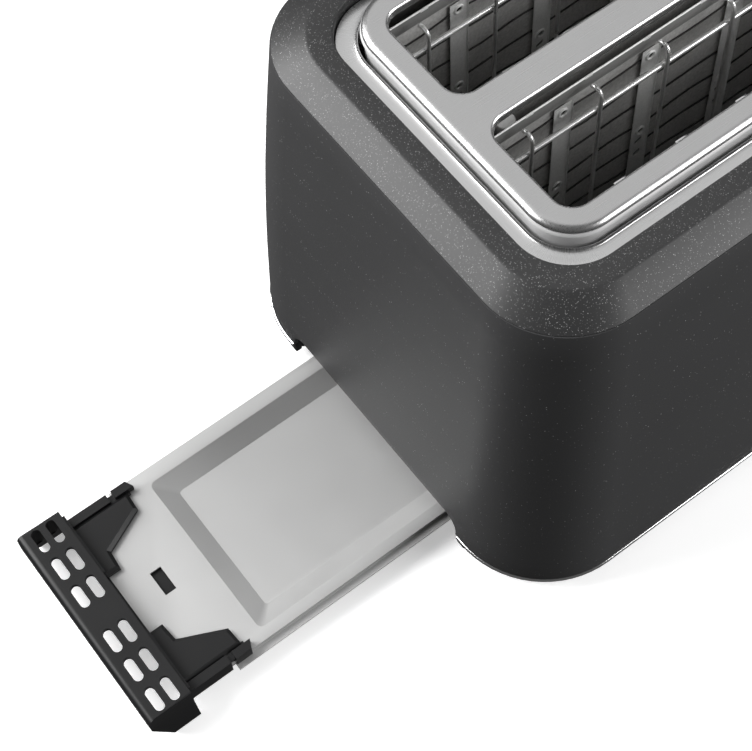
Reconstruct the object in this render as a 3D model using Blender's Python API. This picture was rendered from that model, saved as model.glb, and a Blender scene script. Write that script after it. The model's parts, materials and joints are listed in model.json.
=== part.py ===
"""Two-slot pop-up toaster with its crumb tray drawn out.

Metres, +Z up, the floor at z = 0. Lengths along X are measured from the near end of the body at its
foot, where the crumb tray comes out; the control end is at +X. The empty "toaster" carries the whole
model and puts the middle of its overall length on the world origin.
"""

import math

import bmesh
import bpy
from mathutils import Matrix, Vector

MM = 0.001
GAP = 0.3 * MM  # clearance between touching pieces

# Body: a tapered, slightly bellied shell
BODY_LENGTH = 268 * MM
FOOT_HALF_WIDTH = 91.5 * MM
FOOT_CORNER = 37.5 * MM
FOOT_Z = 11 * MM
SEAM_Z = 164.2 * MM
SEAM_INSET = 11.5 * MM
SEAM_CORNER = 31 * MM
BELLY = 1.2 * MM
WALL = 2 * MM
CORNER_STEPS = 5

# Top cover, steel rim and slotted plate
CHAMFER_RISE = 6.9 * MM
CHAMFER_WIDTH = 10.3 * MM
BAND_WIDTH = 7.8 * MM
COVER_INSET = SEAM_INSET + CHAMFER_WIDTH + BAND_WIDTH
BAND_CORNER = 25.2 * MM  # where the chamfer meets the flat band
COVER_CORNER = 19.5 * MM
COVER_SHEET = 2 * MM
COVER_SKIRT = 8 * MM  # how far the inner edge is turned down
COVER_Z = SEAM_Z + CHAMFER_RISE
RIM_DROP = 4.4 * MM  # the rim's flat lies this far below the cover
PLATE_INSET = 7.3 * MM  # from the cover's inner edge
PLATE_Z = 175.5 * MM
PLATE_THICK = 2 * MM
SLOT_START = 45.8 * MM
SLOT_LENGTH = 150 * MM
SLOT_WIDTH = 39.7 * MM
SLOT_MID_Y = 26.25 * MM
SLOT_CORNER = 7 * MM
LIP_DEPTH = 3.5 * MM

# Base, feet and the mouth for the crumb tray
FLOOR_Z = 3.2 * MM
FLOOR_THICK = 1.8 * MM
FLOOR_TOP = FLOOR_Z + FLOOR_THICK
MOUTH_HALF = 50 * MM
MOUTH_TOP = 20 * MM
MOUTH_CORNER = 7 * MM
MOUTH_DEPTH = 15 * MM
TRIM_DROP = 1.6 * MM
TRIM_PROUD = 0.4 * MM
TRIM_WIDTH = 2.2 * MM
BASE_INSET = 2.7 * MM
BASE_RIM_Z = 14 * MM
BASE_NOTCH = 21 * MM
AIR_SLOTS = 6
AIR_PITCH = 24 * MM
FOOT_RADIUS = 8 * MM
SCREW_HEIGHT = 1.2 * MM
FOOT_PLACES = [(38 * MM, -62 * MM), (38 * MM, 62 * MM), (230 * MM, -62 * MM), (230 * MM, 62 * MM)]

# Crumb tray and its handle, drawn out
TRAY_HALF = 37.5 * MM
TRAY_Z = 10 * MM
TRAY_SHEET = 0.6 * MM
TRAY_START = -109 * MM
TRAY_END = 68 * MM
TRAY_FLANGE = 3 * MM
TRAY_CORNER = 1.5 * MM
RUNNER_START = -91 * MM
RUNNER_REACH = 2.8 * MM  # each long side is turned out again below its flange
RAIL_THICK = 2 * MM
LATCH_LOW = (-96.5 * MM, -4.5 * MM)
LATCH_HIGH = (-91.9 * MM, 6 * MM)
PAN_START = -77 * MM
PAN_SLOPE = 7.6 * MM
PAN_HALF = 33 * MM
PAN_MARGIN = 8 * MM  # flat metal left behind the pan
PAN_DEPTH = 4 * MM
HANDLE_START = -128.5 * MM
HANDLE_DEPTH = 18 * MM
HANDLE_HALF = 43.5 * MM
HANDLE_TOP = 18.6 * MM
HANDLE_WALL = 1.8 * MM
HANDLE_LIP_Z = 9.8 * MM
HANDLE_FOOT_Z = 0.8 * MM
HANDLE_LEAN = 0.8 * MM
FLAP_CHAMFER = 6.6 * MM
ARM_START_Y = 13.6 * MM
ARM_EDGE = HANDLE_START + HANDLE_DEPTH - 2 * MM
ARM_CORNERS = (  # in plan, millimetres, over the corner of the tray and round its clip
    (-103.9, 13.6), (-103.2, 21.2), (-86.1, 29.3), (-85.8, 36.4), (-81.5, 38.6),
    (-82.2, 41), (-89.6, 41), (-90.2, 39.6), (-92.2, 39.6), (-92.8, 41),
)
RAIL_BOTTOM = 5.5 * MM
LUG_TOP = 6.6 * MM
FLAP_FLARE = 2.2 * MM
VENT_ROWS = (-121.8 * MM, -115.5 * MM)
VENT_PITCH = 13.4 * MM
VENT_FIRST = 10.5 * MM
VENT_LENGTH = 10 * MM
VENT_WIDTH = 4 * MM

# Heating chamber
CHAMBER_START = 42 * MM
CHAMBER_END = 200 * MM
PLATE_METAL = 1 * MM
CHAMBER_TOP = 160 * MM
BOARD_THICK = 0.8 * MM
INNER_BOARD_Y = 2.8 * MM
OUTER_BOARD_Y = 50.6 * MM
BOARD_BOTTOM = 26 * MM
BOARD_TOP = 157 * MM
STRIP_WIDTH = 7 * MM
STRIP_PLACES = (79.5 * MM, 116 * MM, 152.5 * MM)
CAGE_HALF_GAP = 14.25 * MM  # from the middle of a slot to the plane of its guard wires
CAGE_PIVOT_Z = 24 * MM
CAGE_ROD_Z = 153 * MM
WIRE_RADIUS = 0.75 * MM
ROD_RADIUS = 1 * MM
WIRE_FIRST = 60.6 * MM
WIRE_PITCH = 27.7 * MM
WIRE_COUNT = 5

# Carriage and lever
CARRIAGE_TRAVEL = 66 * MM
LIFTER_Z = 90 * MM
LEVER_Z = 103 * MM
BRACKET_X = 206 * MM
GUIDE_X = 214 * MM
GUIDE_Y = 22 * MM
GUIDE_RADIUS = 2.5 * MM

# Controls on the far end
PANEL_FACE = 270.5 * MM
PANEL_HALF = 46 * MM
PANEL_BOTTOM = 29 * MM
PANEL_TOP = 150 * MM
CONTROL_Y = 30 * MM
KNOB_Z = 62 * MM
KNOB_RADIUS = 12 * MM
KNOB_REACH = 13 * MM
BUTTON_PLACES = {"cancel_button": 92 * MM, "reheat_button": 110 * MM, "defrost_button": 128 * MM}
LEVER_REACH = 14 * MM
WINDOW_LOW = (-12 * MM, 31 * MM)  # opening in the shell behind the panel, in Y and Z
WINDOW_HIGH = (43 * MM, 142 * MM)
BUSH_PLACE = (BODY_LENGTH, -38 * MM, 20.4 * MM)
BUSH_RADIUS = 5 * MM
BUTTON_HALF_Y = 7 * MM
BUTTON_HALF_Z = 4.5 * MM
BUTTON_FLANGE = 2 * MM
DIAL_SIDES = 24

REACH = PANEL_FACE + LEVER_REACH + GAP
MIDDLE_X = (HANDLE_START + REACH) / 2


def clear_scene():
    for item in list(bpy.data.objects):
        bpy.data.objects.remove(item, do_unlink=True)


def material(name, color, roughness, metallic=0.0):
    made = bpy.data.materials.new(name)
    made.use_nodes = True
    shader = made.node_tree.nodes["Principled BSDF"]
    shader.inputs["Base Color"].default_value = (*color, 1)
    shader.inputs["Roughness"].default_value = roughness
    shader.inputs["Metallic"].default_value = metallic
    return made


def finish(name, bm, look, smooth=False):
    """Turns a bmesh into a named object under the toaster's empty."""
    bmesh.ops.recalc_face_normals(bm, faces=bm.faces)
    mesh = bpy.data.meshes.new(name)
    bm.to_mesh(mesh)
    bm.free()
    mesh.materials.append(look)
    if smooth:
        mesh.shade_smooth()
        mesh.set_sharp_from_angle(angle=math.radians(35))
    made = bpy.data.objects.new(name, mesh)
    bpy.context.scene.collection.objects.link(made)
    made.parent = toaster
    return made


def helper(made):
    """Marks an object as a cutter or a piece that a Boolean has taken in."""
    made.hide_render = True
    made.display_type = "WIRE"
    return made


def boolean(target, other, operation):
    step = target.modifiers.new(f"{operation.lower()}_{other.name}", "BOOLEAN")
    step.operation = operation
    step.solver = "EXACT"
    step.object = helper(other)


def cut(target, *others):
    for other in others:
        boolean(target, other, "DIFFERENCE")
    return target


def join(target, *others):
    for other in others:
        boolean(target, other, "UNION")
    return target


def put_origin(made, point):
    """Moves the object's origin to a point on its joint's axis; the mesh stays where it is."""
    made.data.transform(Matrix.Translation(-Vector(point)))
    made.location = point
    return made


def block(name, low, high, look):
    bm = bmesh.new()
    size = Vector(high) - Vector(low)
    middle = (Vector(high) + Vector(low)) / 2
    bmesh.ops.create_cube(bm, size=1, matrix=Matrix.Translation(middle) @ Matrix.Diagonal((*size, 1)))
    return finish(name, bm, look)


def sides_first(a, b, sign):
    """A block's Y limits on one side of the middle plane, low first."""
    return (a, b) if sign > 0 else (-b, -a)


def rounded_outline(x0, x1, y0, y1, radius, steps=CORNER_STEPS):
    """A rounded rectangle in X and Y, counter-clockwise, as points along four arcs."""
    corners = [(x1, y1, 0), (x0, y1, 90), (x0, y0, 180), (x1, y0, 270)]
    points = []
    for x, y, start in corners:
        cx = x - radius if x == x1 else x + radius
        cy = y - radius if y == y1 else y + radius
        for step in range(steps + 1):
            angle = math.radians(start + 90 * step / steps)
            points.append((cx + radius * math.cos(angle), cy + radius * math.sin(angle)))
    return points


def add_loop(bm, points):
    return [bm.verts.new(point) for point in points]


def skin_loops(bm, loops, ends):
    """Joins each loop of points to the next with quads; ends is 'capped' or 'closed', last to first."""
    pairs = list(zip(loops, loops[1:]))
    if ends == "closed":
        pairs.append((loops[-1], loops[0]))
    for lower, upper in pairs:
        for index in range(len(lower)):
            after = (index + 1) % len(lower)
            bm.faces.new((lower[index], lower[after], upper[after], upper[index]))
    if ends == "capped":
        bm.faces.new(loops[0][::-1])
        bm.faces.new(loops[-1])


def lofted(name, stations, look, ends="capped", steps=CORNER_STEPS):
    """A solid through rounded rectangles, each (x0, x1, half width, corner radius, z)."""
    bm = bmesh.new()
    loops = []
    for x0, x1, half, radius, z in stations:
        outline = rounded_outline(x0, x1, -half, half, radius, steps)
        loops.append(add_loop(bm, [(x, y, z) for x, y in outline]))
    skin_loops(bm, loops, ends)
    return finish(name, bm, look, smooth=True)


def prism(name, outline, place, look, smooth=False):
    """A flat outline pushed between two ends; place turns (u, v, end) into a point."""
    bm = bmesh.new()
    loops = [add_loop(bm, [place(u, v, end) for u, v in outline]) for end in (0, 1)]
    skin_loops(bm, loops, "capped")
    return finish(name, bm, look, smooth)


def along_x(x0, x1):
    return lambda u, v, end: (x1 if end else x0, u, v)


def along_y(y0, y1):
    return lambda u, v, end: (u, y1 if end else y0, v)


def along_z(z0, z1):
    return lambda u, v, end: (u, v, z1 if end else z0)


def cylinder(name, center, radius, length, axis, look, sides=16, tip_radius=None):
    bm = bmesh.new()
    turn = Vector((0, 0, 1)).rotation_difference(Vector(axis)).to_matrix().to_4x4()
    bmesh.ops.create_cone(
        bm, cap_ends=True, segments=sides, radius1=radius,
        radius2=radius if tip_radius is None else tip_radius,
        depth=length, matrix=Matrix.Translation(center) @ turn,
    )
    return finish(name, bm, look, smooth=True)


def tube(name, points, radius, look, sides=6):
    """A round bar along a path of points, with flat ends."""
    bm = bmesh.new()
    path = [Vector(point) for point in points]
    loops = []
    side = None
    for index, point in enumerate(path):
        before = path[max(index - 1, 0)]
        after = path[min(index + 1, len(path) - 1)]
        along = (after - before).normalized()
        if side is None:
            side = along.orthogonal().normalized()
        side = (side - along * side.dot(along)).normalized()
        other = along.cross(side)
        ring = []
        for corner in range(sides):
            angle = 2 * math.pi * (corner + 0.5) / sides
            ring.append(point + radius * (math.cos(angle) * side + math.sin(angle) * other))
        loops.append(add_loop(bm, ring))
    skin_loops(bm, loops, "capped")
    return finish(name, bm, look, smooth=True)


def wall_inset(z):
    """How far the body's outer face stands in from its foot at a height."""
    rise = (z - FOOT_Z) / (SEAM_Z - FOOT_Z)
    return SEAM_INSET * rise - BELLY * math.sin(math.pi * rise)


def body_station(z, inward=0.0):
    rise = (z - FOOT_Z) / (SEAM_Z - FOOT_Z)
    inset = wall_inset(z) + inward
    corner = FOOT_CORNER + (SEAM_CORNER - FOOT_CORNER) * rise - inward
    return (inset, BODY_LENGTH - inset, FOOT_HALF_WIDTH - inset, corner, z)


def top_station(inset, z, corner_rate=0.48):
    """A rounded rectangle inset from the inner edge of the top cover."""
    whole = COVER_INSET + inset
    corner = COVER_CORNER - corner_rate * inset
    return (whole, BODY_LENGTH - whole, FOOT_HALF_WIDTH - whole, corner, z)


def mouth_outline(half, top, radius=MOUTH_CORNER, steps=4):
    """The opening for the crumb tray, open towards the floor, in Y and Z."""
    points = [(-half, -5 * MM), (half, -5 * MM)]
    for start, side in ((0, 1), (90, -1)):
        for step in range(steps + 1):
            angle = math.radians(start + 90 * step / steps)
            points.append((side * (half - radius) + radius * math.cos(angle),
                           top - radius + radius * math.sin(angle)))
    return points


def build_shell():
    heights = [FOOT_Z, 24 * MM, 60 * MM, 110 * MM, SEAM_Z - GAP]
    outer = [body_station(z) for z in heights]
    inner = [body_station(z, WALL) for z in reversed(heights)]
    shell = lofted("body_shell", outer + inner, anthracite, ends="closed")
    mouth = prism("mouth_cutter", mouth_outline(MOUTH_HALF, MOUTH_TOP),
                  along_x(-10 * MM, MOUTH_DEPTH), anthracite)
    window = block("window_cutter", (BODY_LENGTH - 30 * MM, *WINDOW_LOW),
                   (BODY_LENGTH + 10 * MM, *WINDOW_HIGH), anthracite)
    bush_hole = cylinder("bush_hole_cutter", BUSH_PLACE, BUSH_RADIUS + 0.4 * MM, 30 * MM, (1, 0, 0),
                         anthracite)
    cut(shell, mouth, window, bush_hole)


def build_trim():
    top = FOOT_Z - GAP
    bottom = top - TRIM_DROP

    def station(outward, z):
        return (-outward, BODY_LENGTH + outward, FOOT_HALF_WIDTH + outward, FOOT_CORNER + outward, z)

    trim = lofted("base_trim", [
        station(0, bottom),
        station(TRIM_PROUD, bottom + TRIM_DROP / 2),
        station(TRIM_PROUD / 2, top),
        station(-TRIM_WIDTH, top),
        station(-TRIM_WIDTH, bottom),
    ], polished_steel, ends="closed")
    cutter = prism("trim_cutter", mouth_outline(MOUTH_HALF + 1 * MM, MOUTH_TOP + 1 * MM),
                   along_x(-10 * MM, MOUTH_DEPTH), polished_steel)
    cut(trim, cutter)


def build_cover():
    def station(inward, corner, z):
        whole = SEAM_INSET + inward
        return (whole, BODY_LENGTH - whole, FOOT_HALF_WIDTH - whole, corner, z)

    band_in = CHAMFER_WIDTH + BAND_WIDTH
    sheet = COVER_SHEET
    skirt_z = COVER_Z - COVER_SKIRT
    rounding = 0.6 * MM
    lofted("top_cover", [
        station(0, SEAM_CORNER, SEAM_Z),
        station(CHAMFER_WIDTH, BAND_CORNER, COVER_Z),
        station(band_in - rounding, COVER_CORNER + 0.4 * MM, COVER_Z),
        station(band_in, COVER_CORNER, COVER_Z - rounding),
        station(band_in, COVER_CORNER, skirt_z),
        station(band_in - sheet, COVER_CORNER + sheet, skirt_z),
        station(band_in - sheet, COVER_CORNER + sheet, COVER_Z - sheet),
        station(CHAMFER_WIDTH, BAND_CORNER, COVER_Z - sheet),
        station(3.2 * MM, SEAM_CORNER - 2 * MM, SEAM_Z),
    ], dark_cover, ends="closed")


def build_rim():
    ring_z = COVER_Z - RIM_DROP
    lofted("steel_rim", [
        top_station(0.5 * MM, ring_z - 0.7 * MM),
        top_station(0.5 * MM, ring_z),
        top_station(4.3 * MM, ring_z),
        top_station(5.4 * MM, ring_z + 0.4 * MM),
        top_station(6 * MM, ring_z + 1.3 * MM),
        top_station(6.5 * MM, ring_z + 1.3 * MM),
        top_station(6.5 * MM, ring_z - 0.7 * MM),
    ], satin_steel, ends="closed")
    collar_top = PLATE_Z - PLATE_THICK - 0.5 * MM
    lofted("steel_collar", [
        top_station(6.9 * MM, COVER_Z - 9 * MM),
        top_station(7.2 * MM, collar_top),
        top_station(8.3 * MM, collar_top),
        top_station(8.3 * MM, COVER_Z - 9 * MM),
    ], satin_steel, ends="closed")


def slot_prism(name, sign, grow, z0, z1):
    half = SLOT_WIDTH / 2 + grow
    y0, y1 = sides_first(SLOT_MID_Y - half, SLOT_MID_Y + half, sign)
    outline = rounded_outline(SLOT_START - grow, SLOT_START + SLOT_LENGTH + grow, y0, y1, SLOT_CORNER + grow)
    return prism(name, outline, along_z(z0, z1), satin_steel)


def build_top_plate():
    bottom = PLATE_Z - PLATE_THICK
    edge = PLATE_INSET
    plate = lofted("top_plate", [
        top_station(edge + 0.5 * MM, bottom),
        top_station(edge, bottom + 0.5 * MM),
        top_station(edge + 0.15 * MM, bottom + 1.1 * MM),
        top_station(edge + 0.8 * MM, bottom + 1.75 * MM),
        top_station(edge + 1.8 * MM, PLATE_Z),
    ], satin_steel)
    for sign, side in ((1, "left"), (-1, "right")):
        join(plate, slot_prism(f"lip_{side}", sign, 0.9 * MM, PLATE_Z - LIP_DEPTH, bottom + 1 * MM))
    for sign, side in ((1, "left"), (-1, "right")):
        cut(plate, slot_prism(f"slot_{side}_cutter", sign, 0, PLATE_Z - 30 * MM, PLATE_Z + 10 * MM))


def build_base():
    def station(inward, z):
        whole = BASE_INSET + inward
        return (whole, BODY_LENGTH - whole, FOOT_HALF_WIDTH - whole, FOOT_CORNER - whole, z)

    base = lofted("base_plate", [
        station(2 * MM, FLOOR_Z),
        station(0, FLOOR_Z + 2 * MM),
        station(0, BASE_RIM_Z),
        station(FLOOR_THICK, BASE_RIM_Z),
        station(FLOOR_THICK, FLOOR_TOP),
    ], black_plastic)
    for sign, side in ((1, "left"), (-1, "right")):
        rail_y = TRAY_HALF + RUNNER_REACH + 0.6 * MM
        y0, y1 = sides_first(rail_y, rail_y + RAIL_THICK, sign)
        join(base, block(f"tray_rail_{side}", (52 * MM, y0, FLOOR_TOP - 1 * MM),
                         (196 * MM, y1, 12.5 * MM), black_plastic))
    cut(base, block("notch_cutter", (-5 * MM, -MOUTH_HALF - 1 * MM, 0),
                    (BASE_NOTCH, MOUTH_HALF + 1 * MM, 30 * MM), black_plastic))
    for row in range(AIR_SLOTS):
        x = 62 * MM + row * AIR_PITCH
        for sign, side in ((1, "left"), (-1, "right")):
            y0, y1 = sides_first(46 * MM, 74 * MM, sign)
            cut(base, block(f"air_cutter_{side}_{row}", (x, y0, 0), (x + 4 * MM, y1, FLOOR_TOP + 1 * MM),
                            black_plastic))


def build_feet_and_screws():
    height = FLOOR_Z - GAP
    for number, (x, y) in enumerate(FOOT_PLACES, 1):
        cylinder(f"foot_{number}", (x, y, height / 2), FOOT_RADIUS, height, (0, 0, -1), rubber,
                 sides=20, tip_radius=FOOT_RADIUS - 1 * MM)
        toward = 16 * MM if x < BODY_LENGTH / 2 else -16 * MM
        outward = math.copysign(8 * MM, y)
        cylinder(f"base_screw_{number}", (x + toward, y + outward, height - SCREW_HEIGHT / 2),
                 3.2 * MM, SCREW_HEIGHT, (0, 0, -1), zinc_steel, sides=12, tip_radius=2.4 * MM)


def build_tray():
    flange_z = TRAY_Z - TRAY_FLANGE
    corner = TRAY_CORNER
    under = TRAY_Z - TRAY_SHEET
    pan_end = TRAY_END - PAN_MARGIN
    floor_half = PAN_HALF - PAN_SLOPE
    floor_start = PAN_START + PAN_SLOPE
    floor_end = pan_end - PAN_SLOPE
    tray = lofted("crumb_tray", [
        (floor_start, floor_end, floor_half, corner, TRAY_Z - PAN_DEPTH),
        (PAN_START, pan_end, PAN_HALF, corner, TRAY_Z),
        (TRAY_START, TRAY_END, TRAY_HALF, corner, TRAY_Z),
        (TRAY_START, TRAY_END, TRAY_HALF, corner, flange_z),
        (TRAY_START + TRAY_SHEET, TRAY_END - TRAY_SHEET, TRAY_HALF - TRAY_SHEET, corner, flange_z),
        (TRAY_START + TRAY_SHEET, TRAY_END - TRAY_SHEET, TRAY_HALF - TRAY_SHEET, corner, under),
        (PAN_START, pan_end, PAN_HALF, corner, under),
        (floor_start, floor_end, floor_half, corner, under - PAN_DEPTH),
    ], tray_metal, steps=2)
    for sign, side in ((1, "left"), (-1, "right")):
        y0, y1 = sides_first(TRAY_HALF - 0.4 * MM, TRAY_HALF + RUNNER_REACH, sign)
        join(tray, block(f"tray_runner_{side}", (RUNNER_START, y0, flange_z),
                         (TRAY_END - 1 * MM, y1, flange_z + TRAY_SHEET), tray_metal))
    cut(tray, block("latch_hole_cutter", (*LATCH_LOW, 0), (*LATCH_HIGH, 2 * TRAY_Z), tray_metal))


def capsule(name, x, y):
    """A slot with round ends along Y, standing upright."""
    radius = VENT_WIDTH / 2
    reach = VENT_LENGTH / 2 - radius
    outline = []
    for start, side in ((0, 1), (180, -1)):
        for step in range(5):
            angle = math.radians(start + 45 * step)
            outline.append((x + radius * math.cos(angle), y + side * reach + radius * math.sin(angle)))
    return prism(name, outline, along_z(HANDLE_TOP - 8 * MM, HANDLE_TOP + 5 * MM), black_plastic)


def arm_outline(sign):
    """One bracket arm in plan, from the handle's inner edge over the corner of the tray."""
    corners = [(x * MM, y * MM) for x, y in ARM_CORNERS]
    points = [(ARM_EDGE, ARM_START_Y), *corners, (ARM_EDGE, corners[-1][1])]
    placed = [(x, sign * y) for x, y in points]
    return placed if sign > 0 else placed[::-1]


def build_handle():
    start = HANDLE_START
    end = HANDLE_START + HANDLE_DEPTH
    top = HANDLE_TOP
    wall = HANDLE_WALL
    lip_x = start + HANDLE_LEAN
    lip_z = HANDLE_LIP_Z
    front_edge = [(end, top), (start + 1.4 * MM, top), (start + 0.3 * MM, top - 0.6 * MM),
                  (start, top - 1.8 * MM), (lip_x, lip_z)]
    hook = front_edge + [(lip_x + wall, lip_z), (start + wall, top - wall), (end, top - wall)]
    flap = front_edge + [(lip_x + FLAP_CHAMFER, HANDLE_FOOT_Z), (end, HANDLE_FOOT_Z)]
    handle = prism("tray_handle", hook, along_y(-HANDLE_HALF, HANDLE_HALF), black_plastic)
    arm_bottom = TRAY_Z + GAP
    arm_top = TRAY_Z + 2.6 * MM
    for sign, side in ((1, "left"), (-1, "right")):

        def leaning(x, z, outer, sign=sign):
            reach = HANDLE_HALF - 0.6 * MM + (2.4 * MM if outer else 0) + FLAP_FLARE * (top - z) / top
            return (x, sign * reach, z)

        rail_low, rail_high = sides_first(TRAY_HALF + 0.5 * MM, TRAY_HALF + 3.5 * MM, sign)
        lug_low, lug_high = sides_first(TRAY_HALF - 4 * MM, TRAY_HALF + 1 * MM, sign)
        riser_low, riser_high = sides_first(ARM_START_Y, TRAY_HALF + 3 * MM, sign)
        join(
            handle,
            prism(f"flap_{side}", flap, leaning, black_plastic),
            block(f"riser_{side}", (ARM_EDGE, riser_low, arm_bottom + 0.5 * MM),
                  (end + 0.8 * MM, riser_high, top - 1 * MM), black_plastic),
            prism(f"arm_{side}", arm_outline(sign), along_z(arm_bottom, arm_top), black_plastic),
            block(f"rail_{side}", (end - 3 * MM, rail_low, RAIL_BOTTOM),
                  (-93 * MM, rail_high, TRAY_Z + 1.5 * MM), black_plastic),
            block(f"lug_{side}", (end, lug_low, RAIL_BOTTOM), (-94 * MM, lug_high, LUG_TOP), black_plastic),
        )
    for row, x in enumerate(VENT_ROWS):
        for place in range(3):
            for sign in (1, -1):
                y = sign * (VENT_FIRST + place * VENT_PITCH)
                cut(handle, capsule(f"vent_{row}_{place}_{'left' if sign > 0 else 'right'}", x, y))


def build_chamber():
    leg_z = FLOOR_TOP + GAP
    bridge_z = 14.5 * MM
    for name, x in (("front_end_plate", CHAMBER_START), ("rear_end_plate", CHAMBER_END)):
        plate = block(name, (x, -58 * MM, leg_z), (x + PLATE_METAL, 58 * MM, CHAMBER_TOP), zinc_steel)
        if x == CHAMBER_END:
            join(plate, block("guide_bridge", (x + 0.4 * MM, -28 * MM, CHAMBER_TOP - 1.5 * MM),
                              (GUIDE_X + 5 * MM, 28 * MM, CHAMBER_TOP), zinc_steel))
        cut(plate, block(f"{name}_underpass", (x - 5 * MM, -43.5 * MM, 0), (x + 5 * MM, 43.5 * MM, bridge_z),
                         zinc_steel))
        for sign, side in ((1, "left"), (-1, "right")):
            middle = sign * SLOT_MID_Y
            cut(plate, block(f"{name}_lift_slot_{side}", (x - 5 * MM, middle - 5 * MM, 19 * MM),
                             (x + 5 * MM, middle + 5 * MM, LIFTER_Z + 14 * MM), zinc_steel))
            for offset in (-CAGE_HALF_GAP, CAGE_HALF_GAP):
                cut(plate, cylinder(f"{name}_pivot_{side}_{'in' if offset * sign < 0 else 'out'}",
                                    (x, middle + offset, CAGE_PIVOT_Z), ROD_RADIUS + 0.5 * MM, 10 * MM,
                                    (1, 0, 0), zinc_steel, sides=8))
    for sign, side in ((1, "left"), (-1, "right")):
        y0, y1 = sides_first(56 * MM, 56.8 * MM, sign)
        f0, f1 = sides_first(56.2 * MM, 62 * MM, sign)
        shield = block(f"{side}_heat_shield", (CHAMBER_START + PLATE_METAL + GAP, y0, leg_z),
                       (CHAMBER_END - GAP, y1, CHAMBER_TOP), zinc_steel)
        join(shield, block(f"shield_flange_{side}", (CHAMBER_START + 8 * MM, f0, leg_z + 0.2 * MM),
                           (CHAMBER_END - 8 * MM, f1, leg_z + 1.2 * MM), zinc_steel))


def heater_path(y):
    """The heating wire runs to and fro along the board, one run under another."""
    first, last = CHAMBER_START + 8 * MM, CHAMBER_END - 8 * MM
    top, bottom, runs = BOARD_TOP - 10 * MM, BOARD_BOTTOM + 12 * MM, 9
    points = []
    for run in range(runs):
        z = top - (top - bottom) * run / (runs - 1)
        ends = [(first, y, z), (last, y, z)]
        points += ends if run % 2 == 0 else ends[::-1]
    return points


def build_heaters():
    x0, x1 = CHAMBER_START + PLATE_METAL + GAP, CHAMBER_END - GAP
    for sign, side in ((1, "left"), (-1, "right")):
        for kind, board_y, facing in (("inner", INNER_BOARD_Y, 1), ("outer", OUTER_BOARD_Y, -1)):
            half = BOARD_THICK / 2
            y0, y1 = sides_first(board_y - half, board_y + half, sign)
            board = block(f"{side}_{kind}_mica_board", (x0, y0, BOARD_BOTTOM), (x1, y1, BOARD_TOP), mica)
            face = board_y + facing * half
            near, far = sorted((face - facing * 0.3 * MM, face + facing * 0.7 * MM))
            for number, x in enumerate(STRIP_PLACES):
                s0, s1 = sides_first(near, far, sign)
                join(board, block(f"{side}_{kind}_strip_{number}",
                                  (x - STRIP_WIDTH / 2, s0, BOARD_BOTTOM + 6 * MM),
                                  (x + STRIP_WIDTH / 2, s1, BOARD_TOP - 3 * MM), mica))
            wire_y = sign * (face + facing * 1.4 * MM)
            tube(f"{side}_{kind}_heater_wire", heater_path(wire_y), 0.35 * MM, heater_alloy, sides=4)


def cage_wire(name, x, y, toward_board):
    """A guard wire: straight up from the pivot rod, then hooked back towards the board."""
    top = CAGE_ROD_Z + 7 * MM
    hook = 2.5 * MM
    points = [(x, y, CAGE_PIVOT_Z - 0.4 * MM), (x, y, top)]
    for degrees in (50, 90, 130, 170):
        angle = math.radians(degrees)
        points.append((x, y + toward_board * hook * (1 - math.cos(angle)), top + hook * math.sin(angle)))
    return tube(name, points, WIRE_RADIUS, guard_steel)


def build_cages():
    for sign, side in ((1, "left"), (-1, "right")):
        for kind, offset in (("inner", -CAGE_HALF_GAP), ("outer", CAGE_HALF_GAP)):
            y = sign * (SLOT_MID_Y + offset)
            toward_board = sign * math.copysign(1, offset)
            pivot_x = CHAMBER_START - 1.5 * MM
            cage = tube(f"{side}_{kind}_guard_cage", [(pivot_x, y, CAGE_PIVOT_Z),
                                                      (CHAMBER_END + 2.5 * MM, y, CAGE_PIVOT_Z)],
                        ROD_RADIUS, guard_steel)
            for number in range(WIRE_COUNT):
                join(cage, cage_wire(f"{side}_{kind}_wire_{number}", WIRE_FIRST + number * WIRE_PITCH, y,
                                     toward_board))
            rod_y = y + toward_board * 1.3 * MM
            join(cage, tube(f"{side}_{kind}_rod", [(CHAMBER_START + 2 * MM, rod_y, CAGE_ROD_Z),
                                                   (CHAMBER_END - 1.5 * MM, rod_y, CAGE_ROD_Z)],
                            ROD_RADIUS, guard_steel))
            put_origin(cage, (pivot_x, y, CAGE_PIVOT_Z))


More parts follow.
